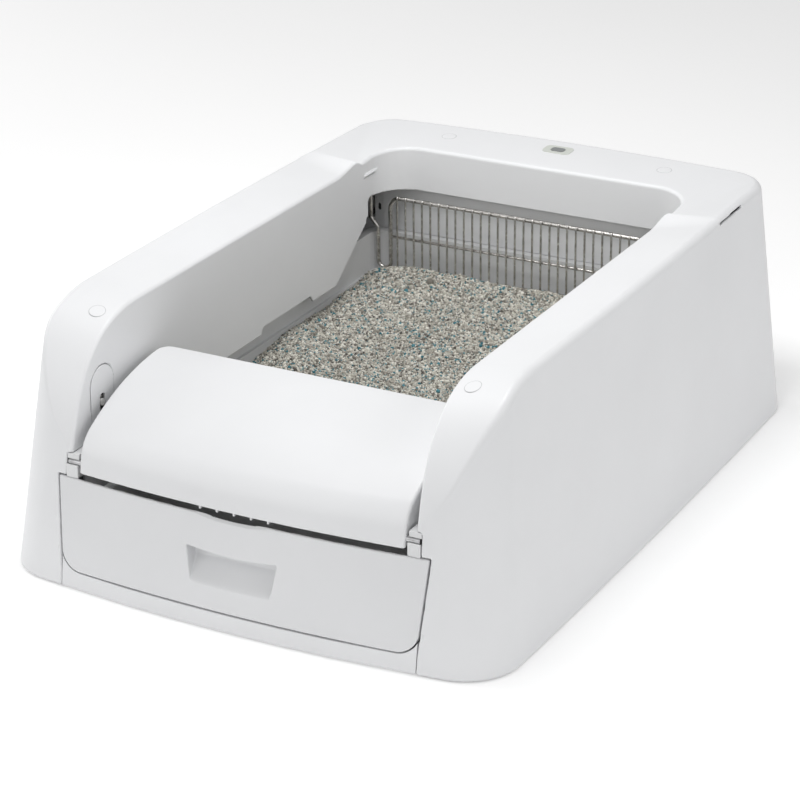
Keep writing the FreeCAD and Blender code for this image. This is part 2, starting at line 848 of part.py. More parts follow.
def tray_void(inset, top):
    upper = tray_half_width - inset
    ledge = upper - tray_ledge
    foot = ledge - tray_lower_draft
    rear = tray_rear_y - inset
    floor = tray_floor + inset
    ledge_z = tray_ledge_height + inset
    radius = tray_corner - inset
    front = front_y + 80
    lower = flat_loft([bay_plan(foot, front, rear - tray_ledge - tray_lower_draft, radius, floor),
                       bay_plan(ledge, front, rear - tray_ledge, radius, ledge_z)])
    bowl = bay_plan(upper, front, rear, radius, ledge_z)
    bowl = Part.Face(bowl).extrude(Vector(0, 0, top - ledge_z)).fuse(lower)
    sweep = rod_x(-300, 300, rake_end_y, rake_pivot_height, ramp_radius - inset)
    behind = box(-300, 300, rake_end_y, rear + 1, 0, 400)
    return bowl.common(sweep.fuse(behind))


def make_tray():
    outer = tray_void(-tray_wall, tray_rim_height)
    tray = outer.cut(tray_void(0, tray_rim_height + 20))
    reach = tray_half_width + tray_wall + tray_flange
    brim = box(-reach, reach, lip_y, tray_rear_y + tray_wall + tray_flange,
               tray_rim_height - tray_wall, tray_rim_height)
    brim = brim.makeFillet(tray_corner, upright_edges(brim, lambda p: p.y > 0))
    brim = brim.cut(tray_void(0, tray_rim_height + 20))
    brim = brim.cut(box(-tray_half_width, tray_half_width, front_y, rake_end_y - 100,
                        tray_rim_height - 20, tray_rim_height + 20))
    tray = tray.fuse(brim).removeSplitter()
    tray = tray.cut(box(-400, 400, front_y - 50, lip_y, 0, 300))
    return tray.fuse(make_spout()).removeSplitter()


def make_spout():
    # The lip carries on as a sloping shelf over the rear wall of the drawer bay.
    half = bay_half - 0.6
    root = 1.0
    drop = 1.2
    return prism([(-half, lip_y + root, lip_z - tray_wall - drop), (-half, lip_y + root, lip_z - drop),
                  (-half, lip_y, lip_z), (-half, lip_y - spout_reach, lip_z - spout_fall),
                  (-half, lip_y - spout_reach, lip_z - spout_fall - tray_wall),
                  (-half, lip_y, lip_z - tray_wall)], (2 * half, 0, 0))


def make_litter():
    top = tray_floor + litter_depth
    bed = tray_void(0.5, 160)
    rear = rake_y - 4.6
    heap = rear - 60
    front = lip_y - 1
    cut_line = prism([(-300, front, 0), (-300, rear, 0), (-300, rear, top + litter_heap),
                      (-300, heap, top), (-300, front, lip_z - litter_below_lip)], (600, 0, 0))
    return bed.common(cut_line)


# Lid: crowned sheet that rolls down into a front lip

def lid_rear_y():
    top_turn = math.radians(lid_top_turn)
    full_turn = top_turn + math.radians(lid_roll_turn)
    roll = lid_roll_radius * (math.sin(full_turn) - math.sin(top_turn))
    return front_y + lid_front_inset + lid_top_radius * math.sin(top_turn) + roll


def lid_profile(fraction, inset, drop):
    radius = lid_top_radius - inset + lid_crown * fraction / math.sin(math.radians(lid_top_turn))
    roll = lid_roll_radius - inset
    top_turn = math.radians(lid_top_turn)
    full_turn = top_turn + math.radians(lid_roll_turn)
    rear = Vector(0, lid_rear_y() - (inset if drop == 0 else 0), lid_rear_height - inset)
    top_mid = Vector(0, rear.y, rear.z - radius)

    def on(mid, reach, angle):
        return mid + Vector(0, -reach * math.sin(angle), reach * math.cos(angle))
    points = [on(top_mid, radius, top_turn * i / lid_top_flats) for i in range(lid_top_flats)]
    roll_mid = on(top_mid, radius - roll, top_turn)
    for i in range(lid_roll_flats + 1):
        points.append(on(roll_mid, roll, top_turn + (full_turn - top_turn) * i / lid_roll_flats))
    low = lid_lip_bottom - drop
    fall = (points[-1].z - low) / math.sin(full_turn)
    toe = points[-1] + Vector(0, -math.cos(full_turn), -math.sin(full_turn)) * fall
    heel = toe + Vector(0, 6.0 + drop * 0.3, 0)
    knee = Vector(0, heel.y + 14, lid_lip_bottom + 8 - drop)
    return closed_wire(points + [toe, heel, knee, rear - Vector(0, 0, lid_flange + drop)])


def lid_body(inset, drop):
    half = lid_half - inset
    wires = []
    for i in range(lid_strips + 1):
        x = -half + 2 * half * i / lid_strips
        wire = lid_profile(1 - (x / lid_half) ** 2, inset, drop)
        wire.translate(Vector(x, 0, 0))
        wires.append(wire)
    return Part.makeLoft(wires, True, True)


def make_lid():
    outer = lid_body(0, 0)
    rear_corners = upright_edges(outer, lambda p: p.y > lid_rear_y() - 2)
    outer = outer.makeFillet(lid_rear_radius, rear_corners)
    inner = lid_body(lid_skin, 30)
    lid = outer.cut(inner)
    ribs = []
    for i in range(lid_rib_count):
        x = (i - (lid_rib_count - 1) / 2) * lid_rib_pitch
        y = front_y + 14.7 + lid_skin
        ribs.append(box(x - 0.9, x + 0.9, y, y + 4.5, lid_lip_bottom - 3.4, lid_lip_bottom + 8))
    end = lid_half - 0.5
    boss = rod_x(end - hinge_boss_length, end, lid_hinge_y, lid_hinge_height, hinge_boss_radius)
    lid = fuse_all([lid] + ribs + [boss, mirrored(boss)])
    pins = make_lid_pin()
    return lid.cut(pins).cut(mirrored(pins))


def make_lid_pin():
    end = lid_half + cradle_gap + cradle_width
    return rod_x(lid_half - 9, end - 1.2, lid_hinge_y, lid_hinge_height, lid_pin_radius)


def make_cradle():
    x0 = lid_half + cradle_gap
    x1 = x0 + cradle_width
    y, z = lid_hinge_y, lid_hinge_height
    block = box(x0, x1, y - 1.5, y + 15, opening_top - 1, notch_top - 0.5)
    block = block.cut(rod_x(x0 - 1, x1 + 1, y, z, lid_pin_radius + running_gap))
    hook = box(x0, x1, y - 4.6, y - 1.5, opening_top - 1, z - 1.6)
    ring = rod_x(x0 - 1, x1 + 1, y, z, lid_pin_radius + running_gap)
    return block.fuse(hook).cut(ring).removeSplitter()


# Drawer

def leaning_block(inset):
    """Space behind the leaning front, as high as the drawer needs it."""
    return tapered_block(inset, floor_low - inset, drawer_bottom + drawer_height + 10)


def make_drawer_front():
    front = leaning_block(0)
    skin = front.cut(leaning_block(drawer_skin))
    face = skin.common(drawer_outline(0, front_y - 20, front_y + 60, 0))
    top = drawer_bottom + drawer_height
    rim_rear = front_y + drawer_rim_depth
    rim = drawer_outline(0, front_y, rim_rear, 0)
    rim = rim.cut(drawer_outline(-drawer_rim, front_y - 5, rim_rear + 10, -drawer_rim))
    # The upper edge has no rim, so that the lid's lip swings clear behind it
    rim = rim.common(front).cut(box(-base_half, base_half, front_y - 5, rim_rear + 10,
                                    top - drawer_top_relief, top + 10))
    chord = dip_half_width
    radius = (chord * chord + dip_depth * dip_depth) / (2 * dip_depth)
    dip = Part.makeCylinder(radius, 60, Vector(0, front_y - 20, top + radius - dip_depth), Vector(0, 1, 0))
    pocket = pocket_solid(0)
    liner = pocket_solid(2.0).common(leaning_block(0.5))
    panel = fuse_all([face, rim, liner])
    return panel.cut(pocket).cut(dip)


def pocket_solid(grow):
    y = front_y + 4
    half_top = pocket_top_width / 2 + grow
    half_low = pocket_bottom_width / 2 + grow
    low = pocket_bottom - grow
    high = pocket_top + grow
    radius = (half_top ** 2 + pocket_sag ** 2) / (2 * pocket_sag)

    def side(yy, z_low, z_high):
        return [Vector(-half_low, yy, z_low), Vector(half_low, yy, z_low),
                Vector(half_top, yy, z_high), Vector(-half_top, yy, z_high)]
    reach = 16.0
    depth = pocket_depth + grow
    near = side(y - reach, low, high)
    far = side(y + depth, low + 0.62 * (high - low), high)
    near_wire = Part.makePolygon(near + [near[0]])
    far_wire = Part.makePolygon(far + [far[0]])
    block = Part.makeLoft([near_wire, far_wire], True, True)
    arch_middle = Vector(0, front_y - 50, high - pocket_sag + radius)
    return block.cut(Part.makeCylinder(radius, 200, arch_middle, Vector(0, 1, 0)))


def bin_rear_y():
    return front_y + bay_length - 2.5


def bin_body(inset, top):
    low = drawer_bottom + inset
    rear = bin_rear_y() - inset
    half = bin_half_width - inset
    body = box(-half, half, rear - bin_depth + 2 * inset, rear, low, top)
    lower = [e for e in body.Edges if e.BoundBox.ZMax < low + 1e-6 and e.BoundBox.XLength < 1e-6]
    return body.makeFillet(bin_corner - inset, lower)


def make_bin():
    rear = bin_rear_y()
    front = rear - bin_depth
    top = drawer_bottom + bin_height
    tub = bin_body(0, top).cut(bin_body(bin_wall, top + 20))
    behind_face = leaning_block(drawer_skin + bin_arm_gap)
    arms = []
    for x in (-runner_half, runner_half):
        arm = box(x - bin_arm_half, x + bin_arm_half, front_y - 5, front + 1, bin_arm_low, top - bin_arm_drop)
        arms.append(arm.common(behind_face))
    return fuse_all([tub] + arms)


def make_bag_frame():
    # Four strips, end to end round the bin's mouth, that hold down the edge of a bag
    rear = bin_rear_y()
    front = rear - bin_depth
    low = drawer_bottom + bin_height
    high = low + bag_rim
    inner = bin_half_width - bag_rim_width
    side = box(inner, bin_half_width, front + bag_rim_width, rear - bag_rim_width, low, high)
    strips = [box(-bin_half_width, bin_half_width, front, front + bag_rim_width, low, high),
              box(-bin_half_width, bin_half_width, rear - bag_rim_width, rear, low, high),
              side, mirrored(side)]
    return Part.makeCompound(strips)


# Lid locks: levers inside the arms, whose tips show in the slots of the covers

def lock_tip():
    return front_y + cover_inset, lock_height


def lock_pivot():
    return lock_tip()[0] + lock_arm, lock_height - lock_travel / 2


def panel_back(height):
    return well_half + (well_edge_height - height) * well_draft + skirt_wall


def make_lock():
    ty, tz = lock_tip()
    py, pz = lock_pivot()
    x1 = -panel_back(pz) - 1.8
    x0 = x1 - 3.5
    way = Vector(0, ty - py, tz - pz)
    side = Vector(0, -way.z, way.y).normalize() * 4.5
    a, b = Vector(x0, py, pz), Vector(x0, ty, tz)
    bar = Part.Face(Part.makePolygon([a + side, b + side, b - side, a - side, a + side]))
    bar = bar.extrude(Vector(x1 - x0, 0, 0))
    lever = fuse_all([bar, rod_x(x0, x1, py, pz, 4.5), rod_x(x0, -well_half - 1.0, ty, tz, 3.2)])
    return lever.cut(rod_x(x0 - 1, x1 + 1, py, pz, lock_pin_radius + running_gap))


def make_lock_pin():
    py, pz = lock_pivot()
    x1 = -panel_back(pz - lock_pin_radius)
    return rod_x(x1 - 7.0, x1 - 0.02, py, pz, lock_pin_radius)


# Drive

def gear(teeth, module, width, x, y, z, phase, bore, backlash):
    """Spur gear on an X axis, with straight-line steps along each involute flank."""
    pitch_r = teeth * module / 2
    base_r = pitch_r * math.cos(math.radians(20))
    tip_r = pitch_r + module
    root_r = pitch_r - 1.25 * module

    def involute(r):
        if r <= base_r:
            return 0.0
        t = math.acos(base_r / r)
        return math.tan(t) - t
    half_tooth = math.pi / (2 * teeth) - backlash / (2 * pitch_r)
    flank = half_tooth + involute(pitch_r)
    radii = [root_r, pitch_r, tip_r]
    points = []
    for i in range(teeth):
        mid = phase + 2 * math.pi * i / teeth
        for r in radii:
            angle = mid - (flank - involute(r))
            points.append(Vector(x, y + r * math.cos(angle), z + r * math.sin(angle)))
        for r in reversed(radii):
            angle = mid + (flank - involute(r))
            points.append(Vector(x, y + r * math.cos(angle), z + r * math.sin(angle)))
    body = Part.Face(Part.makePolygon(points + [points[0]])).extrude(Vector(width, 0, 0))
    return body.cut(rod_x(x - 1, x + width + 1, y, z, bore))


def shaft_place():
    return rake_y + rear_shaft_offset, belt_axis_height


def motor_place():
    y, z = shaft_place()
    reach = gear_module * (shaft_gear_teeth + pinion_teeth) / 2 + 0.08
    return y + reach * math.cos(math.radians(-45)), z + reach * math.sin(math.radians(-45))


def make_shaft_gear():
    y, z = shaft_place()
    return gear(shaft_gear_teeth, gear_module, gear_width, gear_x, y, z, math.radians(-45),
                shaft_radius, 0.16)


def make_pinion():
    y, z = motor_place()
    half_pitch = math.pi / pinion_teeth
    return gear(pinion_teeth, gear_module, gear_width, gear_x, y, z, math.radians(135) + half_pitch,
                2.5, 0.16)


def make_motor():
    y, z = motor_place()
    x1 = gear_x - 2.6
    box_part = rod_x(x1 - gearbox_length, x1 - 2.4, y, z, gearbox_radius)
    boss = rod_x(x1 - 2.4, x1, y, z, 6.0)
    return box_part.fuse(boss).removeSplitter().cut(rod_x(0, 200, y, z, 2.5 + running_gap))


def make_motor_can():
    y, z = motor_place()
    x1 = gear_x - 2.6 - gearbox_length
    can = rod_x(x1 - motor_length, x1, y, z, motor_radius)
    end = rod_x(x1 - motor_length - 3, x1 - motor_length, y, z, 5.0)
    return can.fuse(end).removeSplitter()


def make_pinion_shaft():
    y, z = motor_place()
    return rod_x(gear_x - 2.6 - gearbox_length + 1, gear_x + gear_width + 1, y, z, 2.5)


def make_motor_bracket():
    y, z = motor_place()
    sy, sz = shaft_place()
    x0 = gear_x - 5.0
    plate = box(x0, x0 + 2.4, sy - 14, y + 15, floor_top, sz + 12)
    foot = box(x0 - 24, x0 + 2.4, sy - 14, y + 15, floor_top, floor_top + 2.4)
    bracket = plate.fuse(foot).removeSplitter()
    bracket = bracket.cut(rod_x(x0 - 1, x0 + 4, y, z, 6.0)).cut(rod_x(x0 - 1, x0 + 4, sy, sz, 4.5))
    return bracket


def make_cross_shaft():
    y, z = shaft_place()
    x = rail_x() + 12.5
    return rod_x(-x, x, y, z, shaft_radius)


def make_drive_pulley():
    x = belt_x()
    y, z = shaft_place()
    points = []
    step = 2 * math.pi / pulley_teeth
    for i in range(pulley_teeth):
        for share, radius in ((-0.28, pulley_radius), (0.28, pulley_radius),
                              (0.36, pulley_radius - 1.0), (0.64, pulley_radius - 1.0)):
            angle = step * (i + share)
            points.append(Vector(x - 0.3, y + radius * math.cos(angle), z + radius * math.sin(angle)))
    toothed = Part.Face(Part.makePolygon(points + [points[0]])).extrude(Vector(belt_width + 0.6, 0, 0))
    flange = rod_x(x + belt_width + 0.3, x + belt_width + 1.5, y, z, pulley_radius + 2.4)
    return toothed.fuse(flange).removeSplitter().cut(rod_x(x - 5, x + belt_width + 5, y, z, shaft_radius))


def make_idler_pulley():
    x = belt_x()
    y, z = rake_end_y - front_idler_offset, belt_axis_height
    drum = rod_x(x - 0.3, x + belt_width + 1.0, y, z, pulley_radius)
    return drum.cut(rod_x(x - 5, x + belt_width + 5, y, z, shaft_radius + running_gap))


def make_belt():
    x = belt_x()
    y0, y1 = rake_end_y - front_idler_offset, shaft_place()[0]
    z = belt_axis_height

    def loop(r):
        return fuse_all([rod_x(x, x + belt_width, y0, z, r), rod_x(x, x + belt_width, y1, z, r),
                         box(x, x + belt_width, y0, y1, z - r, z + r)])
    return loop(belt_radius() + belt_thickness).cut(loop(belt_radius()))


def bearing_block(y):
    z = belt_axis_height
    x0 = rail_x() + 3.5
    block = box(x0, x0 + 9, y - 9, y + 9, z - 12, z + 4)
    cap = rod_x(x0, x0 + 9, y, z, 9.0)
    return block.fuse(cap).removeSplitter()


def make_shaft_bearing():
    y = shaft_place()[0]
    return bearing_block(y).cut(rod_x(0, 400, y, belt_axis_height, shaft_radius + running_gap))


def make_idler_bracket():
    y = rake_end_y - front_idler_offset
    return bearing_block(y).cut(rod_x(0, 400, y, belt_axis_height, shaft_radius))


def make_idler_pin():
    y = rake_end_y - front_idler_offset
    x0 = belt_x() - 1.3
    pin = rod_x(x0 - 1.2, rail_x() + 12.5, y, belt_axis_height, shaft_radius)
    head = rod_x(x0 - 2.4, x0 - slide_gap, y, belt_axis_height, shaft_radius + 2)
    return pin.fuse(head).removeSplitter()


def make_bulkhead():
    y0, y1 = bulkhead_y, bulkhead_y + 2.5
    half = rail_x() + 14
    top = rim_height - 22
    wall_part = box(-half, half, y0, y1, floor_top, top)
    x = belt_x()
    window = box(x - 2, x + belt_width + 2, y0 - 1, y1 + 1, belt_axis_height - 17, belt_axis_height + 17)
    eye = eye_prism(y0 - 1, y1 + 1)
    for cut in (window, mirrored(window), eye, mirrored(eye)):
        wall_part = wall_part.cut(cut)
    strip = box(-rake_neck_half + 4, rake_neck_half - 4, y0 - 1.2, y0, tray_rim_height + 1, rim_height - 52)
    return wall_part.fuse(strip).removeSplitter()


def eye_place():
    return rake_neck_half + 0.4, eye_height


def eye_prism(y0, y1):
    """Upright eight-sided eye, open from y0 to y1."""
    x, z = eye_place()
    half, high, cut = eye_half_width, eye_half_height, 1.2
    points = [(half, cut - high), (half, high - cut), (half - cut, high), (cut - half, high),
              (-half, high - cut), (-half, cut - high), (cut - half, -high), (half - cut, -high)]
    return prism([(x + dx, y0, z + dz) for dx, dz in points], (0, y1 - y0, 0))


def make_sensor():
    x, z = eye_place()
    lens = eye_prism(bulkhead_y + 0.8, bulkhead_y + 3.5)
    holder = box(x - 6, x + 6, bulkhead_y + 2.5, bulkhead_y + 7, z - 8, z + 8)
    return lens, holder.cut(lens)


def make_board():
    y = button_y()
    board = box(-board_half, board_half, y - 19, y + 19, board_top() - 1.6, board_top())
    chips = [box(-40, -22, y - 8, y + 4, board_top() - 3.4, board_top() - 1.6),
             box(18, 30, y - 6, y + 8, board_top() - 4.2, board_top() - 1.6)]
    return fuse_all([board] + chips)


def make_switch():
    y = button_y()
    return box(-3.5, 3.5, y - 3.5, y + 3.5, board_top(), board_top() + 3.0)


def bezel_low():
    return rim_height - 9.0


def make_bezel():
    y = button_y()
    ring = rounded_slab(bezel_width - 0.3, bezel_depth - 0.3, bezel_low(), rim_height + 5, 5.8, 0, y)
    ring = ring.common(roof(-0.5))
    hole = rounded_slab(button_width + 0.7, button_depth + 0.7, bezel_low() - 1, rim_height + 9, 3.6, 0, y)
    shelf = centred_box(bezel_width + 5, bezel_depth + 5, bezel_low(), bezel_low() + 1.2, y)
    return ring.fuse(shelf).removeSplitter().cut(hole)


def make_button():
    y = button_y()
    cap = rounded_slab(button_width, button_depth, bezel_low() + 2.2, rim_height + 5, 3.2, 0, y)
    cap = cap.common(roof(-0.9))
    stem = rod_z(0, y, board_top() + 3.0 + button_travel + 0.1, bezel_low() + 3, 1.6)
    lip = centred_box(button_width + 2.4, button_depth + 2.4, bezel_low() - 1.6, bezel_low() - 0.3, y)
    neck = centred_box(button_width - 3, button_depth - 3, bezel_low() - 1, bezel_low() + 3, y)
    return fuse_all([cap, stem, lip, neck])


def make_spring():
    y = button_y()
    low = board_top() + 0.3
    high = bezel_low() - 1.9
    return flat_rod_z(0, y, low, high, 5.6, 12).cut(flat_rod_z(0, y, low - 1, high + 1, 5.0, 12))


def make_plugs():
    discs = []
    for x, y in plug_places():
        disc = flat_rod_z(x, y, rim_height - 40, rim_height + 5, plug_radius, plug_flats).common(roof(-0.15))
        discs.append(disc.cut(roof(1.6)))
    return Part.makeCompound(discs)


def make_feet():
    return Part.makeCompound([flat_rod_z(x, y, 0, foot_height, foot_radius, 12) for x, y in foot_places()])


def make_screws():
    screws = []
    for x, y in screw_places():
        head = flat_rod_z(x, y, floor_low + 0.2, floor_low + 1.4, 4.2, 8)
        shank = flat_rod_z(x, y, floor_low + 1.4, 24, 1.9, 6)
        screws.append(head.fuse(shank).removeSplitter())
    return Part.makeCompound(screws)


def make_inlet():
    x, z = inlet_x, inlet_z
    wall_y = rear_y - rear_lean * z - x * x / (2 * rear_crown_radius)
    body = Part.makeCylinder(6.0, 16, Vector(x, wall_y - 16.6, z), Vector(0, 1, 0))
    flange = Part.makeCylinder(8.5, 2.0, Vector(x, wall_y - wall - 3.4, z), Vector(0, 1, 0))
    socket = Part.makeCylinder(3.2, 12, Vector(x, wall_y - 12, z), Vector(0, 1, 0))
    return body.fuse(flange).removeSplitter().cut(socket)


def save(name, shape):
    shape.exportStep("parts/" + name + ".step")


def save_pair(name, right):
    save(name + "_right", right)
    save(name + "_left", mirrored(right))


def main():
    save("top_shell", make_top_shell())
    save("base_pan", make_base())
    save("rear_bulkhead", make_bulkhead())
    save("litter_tray", make_tray())
    save("litter_bed", make_litter())
    save_pair("guide_rail", make_rail())
    save_pair("carriage", make_carriage())
    save_pair("rake_pivot_pin", make_pivot_pin())
    save_pair("rake_hub", make_hub())
    frame = make_rake_frame()
    save("rake_frame", frame)
    save("rake_mid_rod", make_mid_rod(frame))
    save("rake_tines", make_tines())
    save("ramp_lid", make_lid())
    save_pair("lid_hinge_pin", make_lid_pin())
    save_pair("hinge_cradle", make_cradle())
    save("pivot_cover_left", make_cover())
    save("pivot_cover_right", mirrored(make_cover()))
    save("lid_lock_left", make_lock())
    save("lid_lock_right", mirrored(make_lock()))
    save("lock_pivot_pins", Part.makeCompound([make_lock_pin(), mirrored(make_lock_pin())]))
    save("drawer_front", make_drawer_front())
    save("waste_bin", make_bin())
    save("bag_frame", make_bag_frame())
    save("cross_shaft", make_cross_shaft())
    save_pair("drive_pulley", make_drive_pulley())
    save_pair("idler_pulley", make_idler_pulley())
    save_pair("drive_belt", make_belt())
    save_pair("shaft_bearing", make_shaft_bearing())
    save_pair("idler_bracket", make_idler_bracket())
    save_pair("idler_pin", make_idler_pin())
    save("shaft_gear", make_shaft_gear())
    save("motor_pinion", make_pinion())
    save("motor_shaft", make_pinion_shaft())
    save("gearbox", make_motor())
    save("motor_can", make_motor_can())
    save("motor_bracket", make_motor_bracket())
    lens, holder = make_sensor()
    save("sensor_lenses", Part.makeCompound([lens, mirrored(lens)]))
    save("sensor_holders", Part.makeCompound([holder, mirrored(holder)]))
    save("control_board", make_board())
    save("button_switch", make_switch())
    save("button_bezel", make_bezel())
    save("button_cap", make_button())
    save("button_spring", make_spring())
    save("screw_plugs", make_plugs())
    save("rubber_feet", make_feet())
    save("case_screws", make_screws())
    save("power_inlet", make_inlet())


main()
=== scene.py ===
"""Looks of the self-cleaning litter box. Shapes are in millimetres, lights, floor and camera in metres."""

import json
import math

import bmesh
import bpy
import numpy as np
from mathutils import Matrix, Vector


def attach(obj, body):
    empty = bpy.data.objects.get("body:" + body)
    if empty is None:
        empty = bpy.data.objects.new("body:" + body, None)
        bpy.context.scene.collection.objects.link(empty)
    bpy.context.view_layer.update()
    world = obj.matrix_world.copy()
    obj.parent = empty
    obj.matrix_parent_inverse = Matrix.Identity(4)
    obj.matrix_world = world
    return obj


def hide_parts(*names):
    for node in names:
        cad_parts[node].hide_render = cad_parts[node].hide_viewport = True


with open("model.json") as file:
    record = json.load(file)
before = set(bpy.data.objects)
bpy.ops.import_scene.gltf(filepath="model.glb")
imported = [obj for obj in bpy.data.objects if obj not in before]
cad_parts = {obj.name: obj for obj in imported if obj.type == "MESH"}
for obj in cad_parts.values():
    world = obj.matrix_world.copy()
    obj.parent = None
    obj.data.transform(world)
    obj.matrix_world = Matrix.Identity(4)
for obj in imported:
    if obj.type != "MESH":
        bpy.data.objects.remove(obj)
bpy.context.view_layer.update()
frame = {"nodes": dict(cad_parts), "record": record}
MM = 0.001

# Sizes of the housing, as in the CAD source
FRONT_Y, REAR_Y = -341.0, 341.0
BASE_HALF, RIM_HALF, RIM_Z = 245.0, 220.5, 236.0
SIDE_LEAN = (BASE_HALF - RIM_HALF) / RIM_Z
FRONT_LEAN, REAR_LEAN = 0.144, 0.056
FRONT_CROWN, REAR_CROWN, SIDE_CROWN = 1650.0, 2500.0, 13500.0
FRONT_CORNER, REAR_CORNER = 52.0, 40.0
WALL = 3.0
SHELL_LOW = 1.4
SIDE_BAND, SIDE_DROP = 56.8, 9.2
REAR_BAND, REAR_DROP = 75.7, 4.8
SIDE_SLOPE = SIDE_DROP / SIDE_BAND
REAR_SLOPE = REAR_DROP / REAR_BAND
RIM_REAR_Y = REAR_Y - REAR_LEAN * RIM_Z
WELL_HALF = RIM_HALF - SIDE_BAND
WELL_REAR_Y = RIM_REAR_Y - REAR_BAND
WELL_EDGE_Z = RIM_Z - SIDE_DROP
WELL_DRAFT, WELL_CORNER = 0.016, 38.0
RAKE_Y = WELL_REAR_Y - 6.3
GATE_HALF, GATE_LOW, GATE_TOP, GATE_LEAN = 173.0, 16.1, 100.8, 0.0804
LID_HALF = WELL_HALF - 7.3
LID_REAR_Y = FRONT_Y + 160.4
LID_REAR_Z = 174.3
LID_RADIUS, LID_ROLL, LID_CROWN = 235.0, 34.0, 8.4
LID_TURN = math.radians(30.6)
LID_FULL = math.radians(80.6)
LIP_Z = 105.5
DRAWER_LOW, DRAWER_HIGH, DRAWER_LOW_HALF = 17.4, 99.5, 171.7
DRAWER_LEAN = 6.6 / 82.1
POCKET_TOP_HALF, POCKET_LOW_HALF = 43.6, 38.4
POCKET_LOW, POCKET_HIGH, POCKET_DEPTH, POCKET_BACK = 38.3, 69.4, 17.5, 11.8
DIP_HALF, DIP_DEPTH = 44.0, 3.6
LITTER_FRONT, LITTER_LOW, LITTER_MID = -195.8, 83.5, 101.0
INLET_X, INLET_Z = 150.0, 46.0
ARM_Y, ARM_Z, ARM_RUN = FRONT_Y + 20.5, 98.5, 115.0
LOWER_PULL, UPPER_PULL = 67.0, 86.6
LEAN_SIZE = math.hypot(FRONT_LEAN, 1)
ROLL = [(ARM_Y, ARM_Z), (ARM_Y + LOWER_PULL * FRONT_LEAN / LEAN_SIZE, ARM_Z + LOWER_PULL / LEAN_SIZE),
        (ARM_Y + ARM_RUN - UPPER_PULL, RIM_Z), (ARM_Y + ARM_RUN, RIM_Z)]


# Solids as distance fields: each is (distance, outward normal) at the points P, and P is 3 rows

def surf(value, gx, gy, gz):
    """A surface from a value that grows outward and its slopes."""
    g = np.empty((3,) + value.shape)
    g[0], g[1], g[2] = gx, gy, gz
    size = np.sqrt((g * g).sum(0))
    return value / size, g / size


def both(a, b, r=0.0):
    """Where two solids meet, with the outer edge rounded to radius r."""
    (da, ga), (db, gb) = a, b
    first = da > db
    d = np.where(first, da, db)
    g = np.where(first, ga, gb)
    if r <= 0:
        return d, g
    c = np.clip((ga * gb).sum(0), -0.9999, 0.9999)
    u, v = da + r, db + r
    zone = (u > c * v) & (v > c * u)
    s = 1 - c * c
    q = np.sqrt(np.maximum((u * u + v * v - 2 * u * v * c) / s, 1e-12))
    return np.where(zone, q - r, d), np.where(zone, ((u - c * v) * ga + (v - c * u) * gb) / (s * q), g)


def flip(a):
    return -a[0], -a[1]


def minus(a, b, r=0.0):
    return both(a, flip(b), r)


def either(a, b, r=0.0):
    return flip(both(flip(a), flip(b), r))


def grown(a, by):
    return a[0] - by, a[1]


def slab(P, axis, low, high):
    sign = [0.0, 0.0, 0.0]
    sign[axis] = 1.0
    up = surf(P[axis] - high, *sign)
    down = surf(low - P[axis], *[-s for s in sign])
    return both(up, down)


def block(P, x, y, z, r=0.0):
    return both(both(slab(P, 0, *x), slab(P, 1, *y), r), slab(P, 2, *z), r)


NET_ROUNDS = 5
NET_SLACK = 0.3


